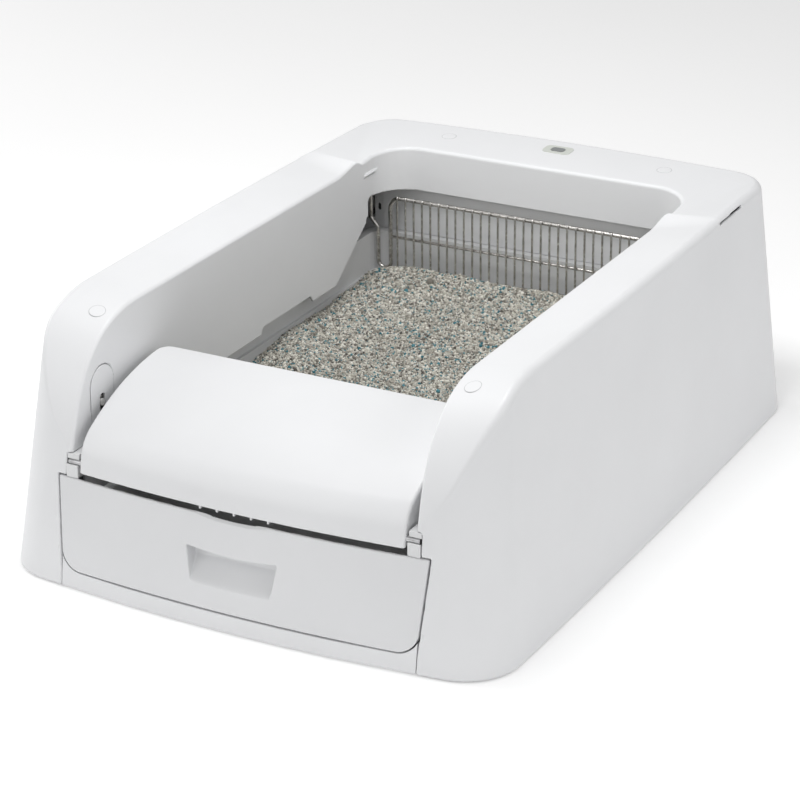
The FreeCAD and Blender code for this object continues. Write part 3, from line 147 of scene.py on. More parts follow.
def net(field, xs, ys, zs):
    """A quad mesh on the field's zero level. The first two x lines stand beside the mirror plane."""
    nx, ny, nz = len(xs), len(ys), len(zs)
    Y, Z = np.meshgrid(ys, zs, indexing="ij")
    D = np.empty((nx, ny, nz), np.float32)
    for i, x in enumerate(xs):
        D[i] = field(np.stack([np.full(Y.size, x), Y.ravel(), Z.ravel()]))[0].reshape(ny, nz)
    inside = D < 0
    count = np.zeros((nx - 1, ny - 1, nz - 1), np.int8)
    corners = [(a, b, c) for a in (0, 1) for b in (0, 1) for c in (0, 1)]
    for a, b, c in corners:
        count += inside[a:nx - 1 + a, b:ny - 1 + b, c:nz - 1 + c]
    cell = np.argwhere((count > 0) & (count < 8))
    index = np.full(count.shape, -1, np.int64)
    index[tuple(cell.T)] = np.arange(len(cell))
    lines = [np.asarray(xs, float), np.asarray(ys, float), np.asarray(zs, float)]
    low = np.stack([lines[k][cell[:, k]] for k in range(3)])
    high = np.stack([lines[k][cell[:, k] + 1] for k in range(3)])
    total, hits = np.zeros(low.shape), np.zeros(low.shape[1])
    for m, p in enumerate(corners):
        for q in corners[m + 1:]:
            if sum(abs(p[k] - q[k]) for k in range(3)) != 1:
                continue
            dp = D[cell[:, 0] + p[0], cell[:, 1] + p[1], cell[:, 2] + p[2]]
            dq = D[cell[:, 0] + q[0], cell[:, 1] + q[1], cell[:, 2] + q[2]]
            cross = (dp < 0) != (dq < 0)
            t = np.where(cross, dp / np.where(cross, dp - dq, 1), 0)
            for k in range(3):
                at = p[k] + (q[k] - p[k]) * t
                total[k] += np.where(cross, low[k] + (high[k] - low[k]) * at, 0)
            hits += cross
    P = total / hits
    faces = []
    for axis in range(3):
        b, c = (axis + 1) % 3, (axis + 2) % 3
        first = np.moveaxis(inside, (axis, b, c), (0, 1, 2))
        cells = np.moveaxis(index, (axis, b, c), (0, 1, 2))
        change = first[:-1, 1:-1, 1:-1] != first[1:, 1:-1, 1:-1]
        at = np.argwhere(change)
        i, j, k = at[:, 0], at[:, 1] + 1, at[:, 2] + 1
        quad = np.stack([cells[i, j - 1, k - 1], cells[i, j, k - 1], cells[i, j, k], cells[i, j - 1, k]], 1)
        leaving = first[i, j, k]
        quad[~leaving] = quad[~leaving][:, ::-1]
        faces.append(quad)
    faces = np.concatenate(faces)
    faces = faces[(faces >= 0).all(1)]
    on_mirror = cell[:, 0] == 0
    slack = NET_SLACK * (high - low)
    ends = np.concatenate([faces[:, [0, 1]], faces[:, [1, 2]], faces[:, [2, 3]], faces[:, [3, 0]]])
    for turn in range(NET_ROUNDS):
        if 0 < turn < NET_ROUNDS - 1:
            mean, near = np.zeros(P.shape), np.zeros(P.shape[1])
            for s, e in ((0, 1), (1, 0)):
                np.add.at(near, ends[:, s], 1)
                for k in range(3):
                    np.add.at(mean[k], ends[:, s], P[k][ends[:, e]])
            P = np.where(near > 0, 0.5 * P + 0.5 * mean / np.maximum(near, 1), P)
        for _ in range(3):
            d, g = field(P)
            P = np.clip(P - d * g, low - slack, high + slack)
            P[0][on_mirror] = 0
    g = field(P)[1]
    return P, faces, g, on_mirror


def mirrored_net(P, faces, g, on_mirror):
    """The half mesh and its mirror image, joined along the mirror plane."""
    n = P.shape[1]
    other = np.arange(n)
    off = ~on_mirror
    other[off] = n + np.arange(off.sum())
    Q = P[:, off] * np.array([[-1.0], [1.0], [1.0]])
    h = g[:, off] * np.array([[-1.0], [1.0], [1.0]])
    normals = g.copy()
    normals[0][on_mirror] = 0
    return (np.concatenate([P, Q], 1), np.concatenate([faces, other[faces][:, ::-1]]),
            np.concatenate([normals, h], 1))


# Making Blender pieces

def finish_piece(piece, body, material, replaces=()):
    piece.data.materials.append(material)
    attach(piece, body)
    if replaces:
        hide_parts(*replaces)
    return piece


def make(name, points, faces, body, material, normals=None, replaces=()):
    """A mesh piece from points in millimetres."""
    mesh = bpy.data.meshes.new(name)
    points = np.asarray(points, float)
    if points.shape[0] == 3 and points.shape[1] != 3:
        points = points.T
    mesh.from_pydata((points * MM).tolist(), [], [list(map(int, f)) for f in faces])
    mesh.update()
    mesh.polygons.foreach_set("use_smooth", [True] * len(mesh.polygons))
    if normals is not None:
        n = np.asarray(normals).T
        n = n / np.maximum(np.linalg.norm(n, axis=1), 1e-9)[:, None]
        mesh.normals_split_custom_set_from_vertices(n.tolist())
    piece = bpy.data.objects.new(name, mesh)
    bpy.context.scene.collection.objects.link(piece)
    return finish_piece(piece, body, material, replaces)


def field_piece(name, field, xs, ys, zs, body, material, replaces):
    P, faces, g = mirrored_net(*net(field, xs, ys, zs))
    return make(name, P, faces, body, material, g, replaces)


def spread(*stretches):
    """Grid lines from (start, step) pairs, ended by a single number."""
    lines = []
    for (start, step), (end, _) in zip(stretches, stretches[1:]):
        many = max(1, round((end - start) / step))
        lines += [start + (end - start) * i / many for i in range(many)]
    return np.array(lines + [stretches[-1][0]])


# Housing

TABLE_Y, TABLE_Z = -362.0, -20.0
FLAT_FROM_Y = -180.0


def roll_table():
    """Distance from the arm's rolled profile and its slope, at each whole millimetre."""
    t = np.linspace(0, 1, 400)[:, None]
    p = [np.array(q) for q in ROLL]
    curve = (1 - t) ** 3 * p[0] + 3 * t * (1 - t) ** 2 * p[1] + 3 * t * t * (1 - t) * p[2] + t ** 3 * p[3]
    below = p[0] - np.linspace(140, 0.3, 300)[:, None] * np.array([FRONT_LEAN, 1]) / LEAN_SIZE
    beyond = p[3] + np.linspace(0.3, 60, 120)[:, None] * np.array([1.0, 0])
    line = np.concatenate([below, curve, beyond])
    along = np.gradient(line, axis=0)
    along /= np.linalg.norm(along, axis=1)[:, None]
    normal = np.stack([-along[:, 1], along[:, 0]], 1)
    Y, W = np.meshgrid(np.arange(TABLE_Y, -170.0), np.arange(TABLE_Z, 282.0), indexing="ij")
    spot = np.stack([Y.ravel(), W.ravel()], 1)
    d, g = np.empty(len(spot)), np.empty((len(spot), 2))
    for s in range(0, len(spot), 4000):
        part = spot[s:s + 4000]
        gap = part[:, None] - line[None]
        near = (gap ** 2).sum(2).argmin(1)
        g[s:s + 4000] = normal[near]
        d[s:s + 4000] = (gap[np.arange(len(part)), near] * normal[near]).sum(1)
    return d.reshape(Y.shape), g.reshape(Y.shape + (2,))


ROLL_D, ROLL_G = roll_table()


def roll_at(y, w):
    """Distance from the arm's rolled profile, and its slope in y and height."""
    a = np.clip(y - TABLE_Y, 0, ROLL_D.shape[0] - 1.001)
    b = np.clip(w - TABLE_Z, 0, ROLL_D.shape[1] - 1.001)
    i, j = a.astype(int), b.astype(int)
    s, t = a - i, b - j

    def blend(table):
        low = table[i, j] * (1 - s) * (1 - t) + table[i + 1, j] * s * (1 - t)
        return low + table[i, j + 1] * (1 - s) * t + table[i + 1, j + 1] * s * t

    d, gy, gw = blend(ROLL_D), blend(ROLL_G[..., 0]), blend(ROLL_G[..., 1])
    flat = y > FLAT_FROM_Y
    return np.where(flat, w - RIM_Z, d), np.where(flat, 0, gy), np.where(flat, 1, gw)


def housing_block(P):
    """The housing's leaning, crowned outer walls."""
    x, y, z = P
    side = surf(x - (BASE_HALF - SIDE_LEAN * z) + y * y / (2 * SIDE_CROWN), 1, y / SIDE_CROWN, SIDE_LEAN)
    front = surf(FRONT_Y + FRONT_LEAN * z + x * x / (2 * FRONT_CROWN) - y, x / FRONT_CROWN, -1, FRONT_LEAN)
    rear = surf(y - REAR_Y + REAR_LEAN * z + x * x / (2 * REAR_CROWN), x / REAR_CROWN, 1, REAR_LEAN)
    return both(both(side, front, FRONT_CORNER), rear, REAR_CORNER)


def roof_field(P):
    """Under the rim: side bands that fall to the well and roll down the arms, and the rear band."""
    x, y, z = P
    d, gy, gw = roll_at(y, z - (x - RIM_HALF) * SIDE_SLOPE)
    side = surf(d, -SIDE_SLOPE * gw, gy, gw)
    rear = surf(z - RIM_Z + (RIM_REAR_Y - y) * REAR_SLOPE, 0, -REAR_SLOPE, 1)
    rear = both(rear, surf(WELL_REAR_Y - 60 - y, 0, -1, 0), 2.0)
    return either(side, rear, 45.0)


def well_field(P):
    """The open well, wider towards the floor."""
    x, y, z = P
    grow = (WELL_EDGE_Z - z) * WELL_DRAFT
    side = surf(x - WELL_HALF - grow, 1, 0, WELL_DRAFT)
    rear = surf(y - WELL_REAR_Y - grow, 0, 1, WELL_DRAFT)
    return both(side, rear, WELL_CORNER)


RECESS_Y = FRONT_Y + 341.0
PANEL_EDGE = [(-400, 103), (FRONT_Y + 115, 103), (FRONT_Y + 119, 115), (RECESS_Y, 115),
              (RECESS_Y + 3, 121.7), (RECESS_Y + 93, 121.7), (RECESS_Y + 97, 115),
              (WELL_REAR_Y - 108.7, 115), (WELL_REAR_Y - 45.5, 163), (WELL_REAR_Y - 41.5, 175),
              (WELL_REAR_Y - 41.4, 186), (500, 186)]
CUT_RISE = 48 / 63.2


def below_panels(P):
    """Space under the side panels' stepped edge and the rear skirt, near the well's wall."""
    x, y, z = P
    edge = np.interp(y, *zip(*PANEL_EDGE))
    cut, cut_end = PANEL_EDGE[7], PANEL_EDGE[8]
    rise = np.where((y > cut[0]) & (y < cut_end[0]), CUT_RISE, 0.0)
    under = surf(z - edge, 0, -rise, 1)
    return both(under, grown(well_field(P), 4.5), 0.5)


def gate_field(P):
    """Opening at the front that the drawer slides through."""
    x, y, z = P
    half = GATE_HALF + GATE_LEAN * np.maximum(z - GATE_LOW, 0)
    gate = both(surf(x - half, 1, 0, -GATE_LEAN * (z > GATE_LOW)), surf(z - GATE_TOP, 0, 0, 1), 0.6)
    return both(gate, surf(y - FRONT_Y - 60, 0, 1, 0), 0.6)


def cover_field(P, half):
    """Pill-shaped recess of the pivot cover, in the arm's inner wall."""
    x, y, z = P
    dy, dz = y - FRONT_Y - 75, np.maximum(z - 167, 0)
    r = np.sqrt(dy * dy + dz * dz)
    pill = surf(r - half, 0, dy / np.maximum(r, 1e-6), dz / np.maximum(r, 1e-6))
    return both(pill, surf(121.5 - z, 0, 0, -1), 0.5)


JAMB_WALL = 2.5


def shell_field(P):
    """The top shell: a skin with the well, the gate's jambs, notches, slots, tabs and cover recesses."""
    x, y, z = P
    solid = both(housing_block(P), roof_field(P), 7.0)
    solid = minus(solid, well_field(P), 3.5)
    skin = both(solid, flip(grown(solid, -WALL)))
    skin = both(skin, surf(SHELL_LOW - z, 0, 0, -1), 0.8)
    skin = minus(skin, below_panels(P), 0.9)
    jamb = both(grown(gate_field(P), JAMB_WALL), slab(P, 1, FRONT_Y - 30, FRONT_Y + 46), 0.5)
    corner = both(surf(158 - x, -1, 0, 0), surf(SHELL_LOW - z, 0, 0, -1))
    jamb = both(both(jamb, grown(solid, -0.01)), corner, 0.5)
    skin = either(skin, jamb, 0.4)
    skin = minus(skin, gate_field(P), 1.0)
    notch = block(P, (150.0, 170.5), (FRONT_Y - 20, FRONT_Y + 44), (GATE_TOP - 4, 121.0), 1.0)
    skin = minus(skin, notch, 0.8)
    slot = block(P, (214.0, 260.0), (REAR_Y - 159, REAR_Y - 104), (RIM_Z - 7.0, RIM_Z - 5.0), 0.5)
    skin = minus(skin, slot, 0.4)
    tab = block(P, (WELL_HALF - 1.2, WELL_HALF + 2), (REAR_Y - 141, REAR_Y - 109), (210.2, 213.8), 0.6)
    skin = either(skin, tab, 0.3)
    pill = both(cover_field(P, 17.3), slab(P, 0, WELL_HALF - 8, WELL_HALF + 10))
    return minus(skin, pill, 0.4)


# Materials

def nodes_of(name):
    m = bpy.data.materials.new(name)
    m.use_nodes = True
    tree = m.node_tree
    return m, tree, tree.nodes["Principled BSDF"]


def node(tree, kind, **inputs):
    n = tree.nodes.new(kind)
    for name, value in inputs.items():
        n.inputs[name].default_value = value
    return n


def ramp(tree, factor, stops):
    """A colour ramp from (position, colour) stops."""
    r = tree.nodes.new("ShaderNodeValToRGB")
    elements = r.color_ramp.elements
    for end in (0, -1):
        elements[end].position = stops[end][0]
        elements[end].color = (*stops[end][1], 1)
    for position, colour in stops[1:-1]:
        elements.new(position).color = (*colour, 1)
    tree.links.new(factor, r.inputs["Fac"])
    return r.outputs["Color"]


def speckled(tree, shader, fine, rough, strength, depth):
    """Fine noise that drives the roughness, between the two values in rough, and a shallow relief."""
    gloss = node(tree, "ShaderNodeMapRange")
    gloss.inputs["To Min"].default_value, gloss.inputs["To Max"].default_value = rough
    tree.links.new(fine.outputs["Fac"], gloss.inputs["Value"])
    tree.links.new(gloss.outputs["Result"], shader.inputs["Roughness"])
    relief = node(tree, "ShaderNodeBump", Strength=strength, Distance=depth)
    tree.links.new(fine.outputs["Fac"], relief.inputs["Height"])
    tree.links.new(relief.outputs["Normal"], shader.inputs["Normal"])


def plastic(name, colour, rough, spread_by=0.012, grain=2600.0, bump=0.00003):
    """Moulded plastic: faint flow mottling, fine spark-eroded grain and a soft sheen."""
    m, tree, shader = nodes_of(name)
    place = node(tree, "ShaderNodeTexCoord")
    broad = node(tree, "ShaderNodeTexNoise", Scale=9.0, Detail=4.0, Roughness=0.55)
    fine = node(tree, "ShaderNodeTexNoise", Scale=grain, Detail=2.0)
    tree.links.new(place.outputs["Object"], broad.inputs["Vector"])
    tree.links.new(place.outputs["Object"], fine.inputs["Vector"])
    low = tuple(max(0.0, c - spread_by) for c in colour)
    high = tuple(min(1.0, c + spread_by) for c in colour)
    tree.links.new(ramp(tree, broad.outputs["Fac"], [(0.3, low), (0.7, high)]), shader.inputs["Base Color"])
    speckled(tree, shader, fine, (rough - 0.05, rough + 0.06), 0.35, bump)
    shader.inputs["IOR"].default_value = 1.5
    return m


def metal(name, colour, rough):
    """Drawn wire or turned metal: fine grain, and patches that are duller."""
    m, tree, shader = nodes_of(name)
    place = node(tree, "ShaderNodeTexCoord")
    patch = node(tree, "ShaderNodeTexNoise", Scale=140.0, Detail=5.0)
    fine = node(tree, "ShaderNodeTexNoise", Scale=900.0, Detail=3.0)
    for n in (patch, fine):
        tree.links.new(place.outputs["Object"], n.inputs["Vector"])
    dark = tuple(0.62 * c for c in colour)
    shade = ramp(tree, patch.outputs["Fac"], [(0.35, dark), (0.65, colour)])
    tree.links.new(shade, shader.inputs["Base Color"])
    speckled(tree, shader, fine, (rough - 0.08, rough + 0.15), 0.3, 0.00002)
    shader.inputs["Metallic"].default_value = 1.0
    return m


WHITE = plastic("white_shell", (0.705, 0.71, 0.72), 0.42)
DRAWER_WHITE = plastic("white_drawer", (0.665, 0.67, 0.68), 0.46)
TRAY = plastic("grey_tray", (0.66, 0.665, 0.67), 0.40)
BEZEL = plastic("grey_bezel", (0.54, 0.56, 0.52), 0.34)
CAP = plastic("grey_cap", (0.20, 0.21, 0.21), 0.36)
DARK = plastic("dark_plastic", (0.03, 0.03, 0.033), 0.35, 0.006)
ACETAL = plastic("acetal", (0.66, 0.66, 0.64), 0.34)
RUBBER = plastic("rubber", (0.045, 0.045, 0.045), 0.75, 0.01, 1400.0, 0.0001)
BOARD = plastic("board", (0.03, 0.16, 0.07), 0.4, 0.01)
WIRE = metal("wire", (0.72, 0.70, 0.67), 0.22)
STEEL = metal("steel", (0.58, 0.58, 0.59), 0.3)
# Painted shade: a mid-grey colour for the thin rings round the plug caps, standing in for the shadow in the
# groove there
PAINTED_GROOVE_SHADE = plastic("joint_shadow", (0.42, 0.42, 0.43), 0.6, 0.01)


def grain_colour(name, per_grain):
    """Clay grains: grey-beige with lighter and darker ones and a few blue-green; the near-black ones are
    painted shade for the gaps between grains.
    """
    m, tree, shader = nodes_of(name)
    if per_grain:
        pick = node(tree, "ShaderNodeNewGeometry").outputs["Random Per Island"]
    else:
        place = node(tree, "ShaderNodeTexCoord")
        cells = node(tree, "ShaderNodeTexVoronoi", Scale=520.0)
        tree.links.new(place.outputs["Object"], cells.inputs["Vector"])
        split = node(tree, "ShaderNodeSeparateColor")
        tree.links.new(cells.outputs["Color"], split.inputs["Color"])
        pick = split.outputs["Red"]
    # The darkest stops are painted shade for the gaps between grains; the other stops are the grains' own
    # random tone
    stops = [(0.0, (0.07, 0.065, 0.058)), (0.14, (0.22, 0.205, 0.175)), (0.34, (0.37, 0.35, 0.305)),
             (0.62, (0.52, 0.50, 0.44)), (0.88, (0.76, 0.74, 0.68)), (0.905, (0.76, 0.74, 0.68)),
             (0.915, (0.035, 0.135, 0.17)), (1.0, (0.09, 0.26, 0.30))]
    tree.links.new(ramp(tree, pick, stops), shader.inputs["Base Color"])
    place = node(tree, "ShaderNodeTexCoord")
    rough = node(tree, "ShaderNodeTexNoise", Scale=1900.0, Detail=3.0)
    tree.links.new(place.outputs["Object"], rough.inputs["Vector"])
    relief = node(tree, "ShaderNodeBump", Strength=0.5, Distance=0.0002)
    tree.links.new(rough.outputs["Fac"], relief.inputs["Height"])
    tree.links.new(relief.outputs["Normal"], shader.inputs["Normal"])
    shader.inputs["Roughness"].default_value = 0.9
    return m


LITTER = grain_colour("litter_grain", True)
LITTER_BASE = grain_colour("litter_under", False)

# Finishes of the CAD nodes. The litter's own node is hidden.
BY_SLOT = {"shell_white": WHITE, "tray_grey": TRAY, "wire": WIRE, "steel": STEEL, "acetal": ACETAL,
           "belt_rubber": RUBBER, "circuit_board": BOARD, "dark_plastic": DARK, "button_grey": BEZEL,
           "litter": TRAY}
for part in frame["record"]["subparts"]:
    cad = frame["nodes"][part["node"]]
    cad.data.materials.clear()
    cad.data.materials.append(CAP if part["node"] == "button_cap" else BY_SLOT[part["material_slot"]])

# Housing piece

INLET_HOLE = 6.6


def housing_piece():
    x = spread((-6.0, 12.0), (6.0, 10.0), (116.0, 3.0), (140.0, 2.0), (182.0, 1.4), (248.0, 0))
    y = spread((-344.0, 1.4), (-276.0, 1.6), (-196.0, 10.0), (-8.0, 2.5), (8.0, 10.0),
               (88.0, 2.5), (100.0, 8.0), (140.0, 4.0), (212.0, 1.8), (346.0, 0))
    z = spread((-2.0, 1.6), (9.0, 3.0), (33.0, 2.0), (59.0, 3.0), (96.0, 1.5), (228.0, 0.8),
               (233.0, 1.3), (242.0, 0))
    P, faces, g = mirrored_net(*net(shell_field, x, y, z))
    centre = P[:, faces].mean(2)
    hole = (np.hypot(centre[0] - INLET_X, centre[2] - INLET_Z) < INLET_HOLE) & (centre[1] > 300)
    make("housing_shell", P, faces[~hole], "housing", WHITE, g, ["top_shell"])


# Lid: crowned sheet, rolled down to a lip at the front

def lid_profile(x, y, z):
    """Distance outside the lid's rolled profile, and its slopes."""
    over = LID_CROWN / math.sin(LID_TURN)
    radius = LID_RADIUS + over * (1 - (x / LID_HALF) ** 2)
    wider = -2 * over * x / LID_HALF ** 2
    py, pz = y - LID_REAR_Y, z - (LID_REAR_Z - radius)
    reach = np.sqrt(py * py + pz * pz)
    top = reach - radius, py / reach, pz / reach
    away = radius - LID_ROLL
    qy, qz = py + away * math.sin(LID_TURN), pz - away * math.cos(LID_TURN)
    near = np.maximum(np.sqrt(qy * qy + qz * qz), 1e-6)
    roll = near - LID_ROLL, qy / near, qz / near
    ny, nz = -math.sin(LID_FULL), math.cos(LID_FULL)
    lip = qy * ny + qz * nz - LID_ROLL, ny + 0 * y, nz + 0 * y
    turn = np.arctan2(-qy, qz)
    pick = [turn < LID_TURN, turn < LID_FULL]
    d, gy, gz = (np.select(pick, [a, b], c) for a, b, c in zip(top, roll, lip))
    moved = np.where(pick[0], gz - 1, math.sin(LID_TURN) * gy + (1 - math.cos(LID_TURN)) * gz)
    return surf(d, moved * wider, gy, gz)


LID_WALL = 2.6
TOE_Y = LID_REAR_Y - 140.0
STEP_Z, REAR_Z = LIP_Z + 8, LID_REAR_Z - 15


def lid_field(P):
    """The lid's skin. Below, it ends at the lip, then at a line that climbs to the rear edge."""
    x, y, z = P
    outer = lid_profile(x, y, z)
    side = surf(x - LID_HALF, 1, 0, 0)
    rear = surf(y - LID_REAR_Y, 0, 1, 0)
    plan = both(side, rear, 12.0)
    solid = both(outer, plan, 2.6)
    low = np.interp(y, [TOE_Y + 6, TOE_Y + 20, LID_REAR_Y], [LIP_Z, STEP_Z, REAR_Z])
    rise = np.where(y < TOE_Y + 6, 0, np.where(y < TOE_Y + 20, 8 / 14, (REAR_Z - STEP_Z) / 120))
    below = surf(low - z, 0, rise, -1)
    solid = both(solid, below, 0.9)
    inner = both(grown(outer, -LID_WALL), grown(plan, -LID_WALL), 1.0)
    return minus(solid, inner, 0.9)


RIB_PITCH, RIB_SIZE = 16.4, (1.8, 5.0, 11.4)


def lid_pieces():
    x = spread((-4.0, 8.0), (4.0, 6.0), (136.0, 1.1), (158.0, 0))
    y = spread((LID_REAR_Y - 150, 1.2), (LID_REAR_Y - 96, 2.0), (LID_REAR_Y - 16, 1.0), (LID_REAR_Y + 2, 0))
    z = spread((LIP_Z - 2, 1.2), (LID_REAR_Z + 2.4, 0))
    field_piece("lid_skin", lid_field, x, y, z, "lid", WHITE, ["ramp_lid"])
    for i in range(-2, 3):
        at = (RIB_PITCH * i, FRONT_Y + 19.5, LIP_Z + 2.3)
        bar("lid_rib_%d" % (i + 3), at, RIB_SIZE, 0.5, "lid", WHITE)


def bar(name, at, size, round_by, body, material):
    """A bar with rounded edges, from its middle and its three sizes."""
    bm = bmesh.new()
    bmesh.ops.create_cube(bm, size=1.0)
    bmesh.ops.scale(bm, vec=Vector(size) * MM, verts=bm.verts)
    bmesh.ops.bevel(bm, geom=bm.edges[:], offset=round_by * MM, segments=3, profile=0.5, affect="EDGES")
    bmesh.ops.translate(bm, verts=bm.verts, vec=Vector(at) * MM)
    mesh = bpy.data.meshes.new(name)
    bm.to_mesh(mesh)
    bm.free()
    mesh.polygons.foreach_set("use_smooth", [True] * len(mesh.polygons))
    mesh.set_sharp_from_angle(angle=math.radians(40))
    piece = bpy.data.objects.new(name, mesh)
    bpy.context.scene.collection.objects.link(piece)
    return finish_piece(piece, body, material)


def turned(name, profile, origin, axis, body, material):
    """A turned piece from (radius, along) points round an axis."""
    sides = 40
    axis = Vector(axis).normalized()
    side = axis.orthogonal().normalized()
    other = axis.cross(side)
    points, faces = [], []
    for radius, along in profile:
        for k in range(sides):
            a = 2 * math.pi * k / sides
            out = side * math.cos(a) + other * math.sin(a)
            points.append(Vector(origin) + axis * along + out * radius)
    for r in range(len(profile) - 1):
        for k in range(sides):
            m = (k + 1) % sides
            faces.append((r * sides + k, r * sides + m, (r + 1) * sides + m, (r + 1) * sides + k))
    piece = make(name, [tuple(p) for p in points], faces, body, material)
    piece.data.set_sharp_from_angle(angle=math.radians(35))
    return piece


# Drawer front

FACE_WALL, LINER_WALL, RETURN_WALL, FACE_DEPTH = 3.0, 2.4, 2.4, 27
LIP_SAG = 3.0


def drawer_outline(x, z, half_low, low, high):
    side = surf(x - half_low - DRAWER_LEAN * (z - DRAWER_LOW), 1, 0, -DRAWER_LEAN)
    return both(both(side, surf(low - z, 0, 0, -1), 20.0), surf(z - high, 0, 0, 1), 1.2)


def pocket_field(P, grow):
    """The finger pocket: a ramp that rises from the face to a low back wall, under a sagging lip."""
    x, y, z = P
    lean = (POCKET_TOP_HALF - POCKET_LOW_HALF) / (POCKET_HIGH - POCKET_LOW)
    side = surf(x - POCKET_LOW_HALF - grow - lean * (z - POCKET_LOW), 1, 0, -lean)
    face_y = FRONT_Y + FRONT_LEAN * POCKET_LOW
    rise = (POCKET_HIGH - POCKET_LOW - POCKET_BACK) / POCKET_DEPTH
    floor = surf(POCKET_LOW - grow + rise * (y - face_y) - z, 0, rise, -1)
    arch = (POCKET_TOP_HALF ** 2 + LIP_SAG ** 2) / (2 * LIP_SAG)
    ax, az = x, z - (POCKET_HIGH + grow - LIP_SAG + arch)
    reach = np.sqrt(ax * ax + az * az)
    roof = surf(arch - reach, -ax / reach, 0, -az / reach)
    back = surf(y - face_y - POCKET_DEPTH - grow, 0, 1, 0)
    return both(both(both(side, floor, 2.0), roof, 1.2), back, 3.0)


def drawer_field(P):
    """The drawer front: a leaning, crowned face with returns, a finger pocket and a scooped top edge."""
    x, y, z = P
    front = surf(FRONT_Y + FRONT_LEAN * z + x * x / (2 * FRONT_CROWN) - y, x / FRONT_CROWN, -1, FRONT_LEAN)
    outline = drawer_outline(x, z, DRAWER_LOW_HALF, DRAWER_LOW, DRAWER_HIGH)
    solid = both(front, outline, 1.1)
    solid = both(solid, surf(y - FRONT_Y - FACE_DEPTH, 0, 1, 0), 0.5)
    inner = drawer_outline(x, z, DRAWER_LOW_HALF - RETURN_WALL, DRAWER_LOW + RETURN_WALL, DRAWER_HIGH + 9)
    shell = minus(solid, both(grown(front, -FACE_WALL), inner, 0.4), 0.4)
    pocket = pocket_field(P, 0.0)
    liner = minus(both(pocket_field(P, LINER_WALL), grown(front, -FACE_WALL / 2), 0.4), pocket)
    shell = either(minus(shell, pocket, 1.3), liner)
    radius = (DIP_HALF ** 2 + DIP_DEPTH ** 2) / (2 * DIP_DEPTH)
    # The dip is a scoop: it rises back to the full height through the thickness of the face
    dx, dz = x, z - (DRAWER_HIGH + radius - DIP_DEPTH) - (y - FRONT_Y - FRONT_LEAN * DRAWER_HIGH)
    reach = np.sqrt(dx * dx + dz * dz)
    dip = surf(reach - radius, dx / reach, -dz / reach, dz / reach)
    return minus(shell, dip, 0.8)


def drawer_piece():
    x = spread((-3.0, 6.0), (3.0, 5.0), (33.0, 0.8), (48.0, 5.0), (148.0, 1.1), (180.0, 0))
    y = spread((FRONT_Y - 2, 0.9), (FRONT_Y + 29, 0))
    z = spread((DRAWER_LOW - 1.5, 1.0), (44.0, 1.3), (DRAWER_HIGH + 1.5, 0))
    field_piece("drawer_face", drawer_field, x, y, z, "drawer", DRAWER_WHITE,
                ["drawer_front"])


# Rake: bent wires, drawn as round tubes

LOOP_IN, LOOP_OUT, HANGER = 159.8, 174.2, 182.3
LOOP_LOW, RAKE_TOP, ROD_Z = 100.5, 176.8, 135.5
WIRE_RADIUS, ROD_RADIUS, TINE_RADIUS = 2.2, 1.5, 1.1
TINE_BEND, TINES = 3.36, 33


def bent(points, radius):
    """A path of points with its corners turned in arcs."""
    steps = 7
    path = [Vector(points[0])]
    for before, at, after in zip(points, points[1:], points[2:]):
        b = Vector(at)
        u = (Vector(before) - b).normalized()
        w = (Vector(after) - b).normalized()
        half = u.angle(w) / 2
        centre = b + (u + w).normalized() * (radius / math.sin(half))
        first = b + u * (radius / math.tan(half)) - centre
        last = b + w * (radius / math.tan(half)) - centre
        turn = first.angle(last)
        for k in range(steps + 1):
            a = turn * k / steps
            start, end = math.sin(turn - a) / math.sin(turn), math.sin(a) / math.sin(turn)
            path.append(centre + first * start + last * end)
    path.append(Vector(points[-1]))
    return path


def tube_mesh(path, radius, across, sides):
    """Rings round a path that lies in the plane square to across, closed by small domes."""
    points, faces = [], []
    across = Vector(across).normalized()
    rings = []
    for i, at in enumerate(path):
        way = (path[min(i + 1, len(path) - 1)] - path[max(i - 1, 0)]).normalized()
        rings.append((at, way, radius))
    for end, sign in ((0, -1), (-1, 1)):
        at, way, _ = rings[end]
        for share in (0.55, 0.9):
            cap = (at + way * (sign * radius * share), way, radius * math.sqrt(1 - share * share))
            rings.insert(0 if sign < 0 else len(rings), cap)
    for at, way, size in rings:
        out = across.cross(way)
        for k in range(sides):
            a = 2 * math.pi * k / sides
            points.append(at + (out * math.cos(a) + across * math.sin(a)) * size)
    for r in range(len(rings) - 1):
        for k in range(sides):
            m = (k + 1) % sides
            faces.append((r * sides + k, r * sides + m, (r + 1) * sides + m, (r + 1) * sides + k))
    faces.append(tuple(reversed(range(sides))))
    faces.append(tuple((len(rings) - 1) * sides + k for k in range(sides)))
    return [tuple(p) for p in points], faces


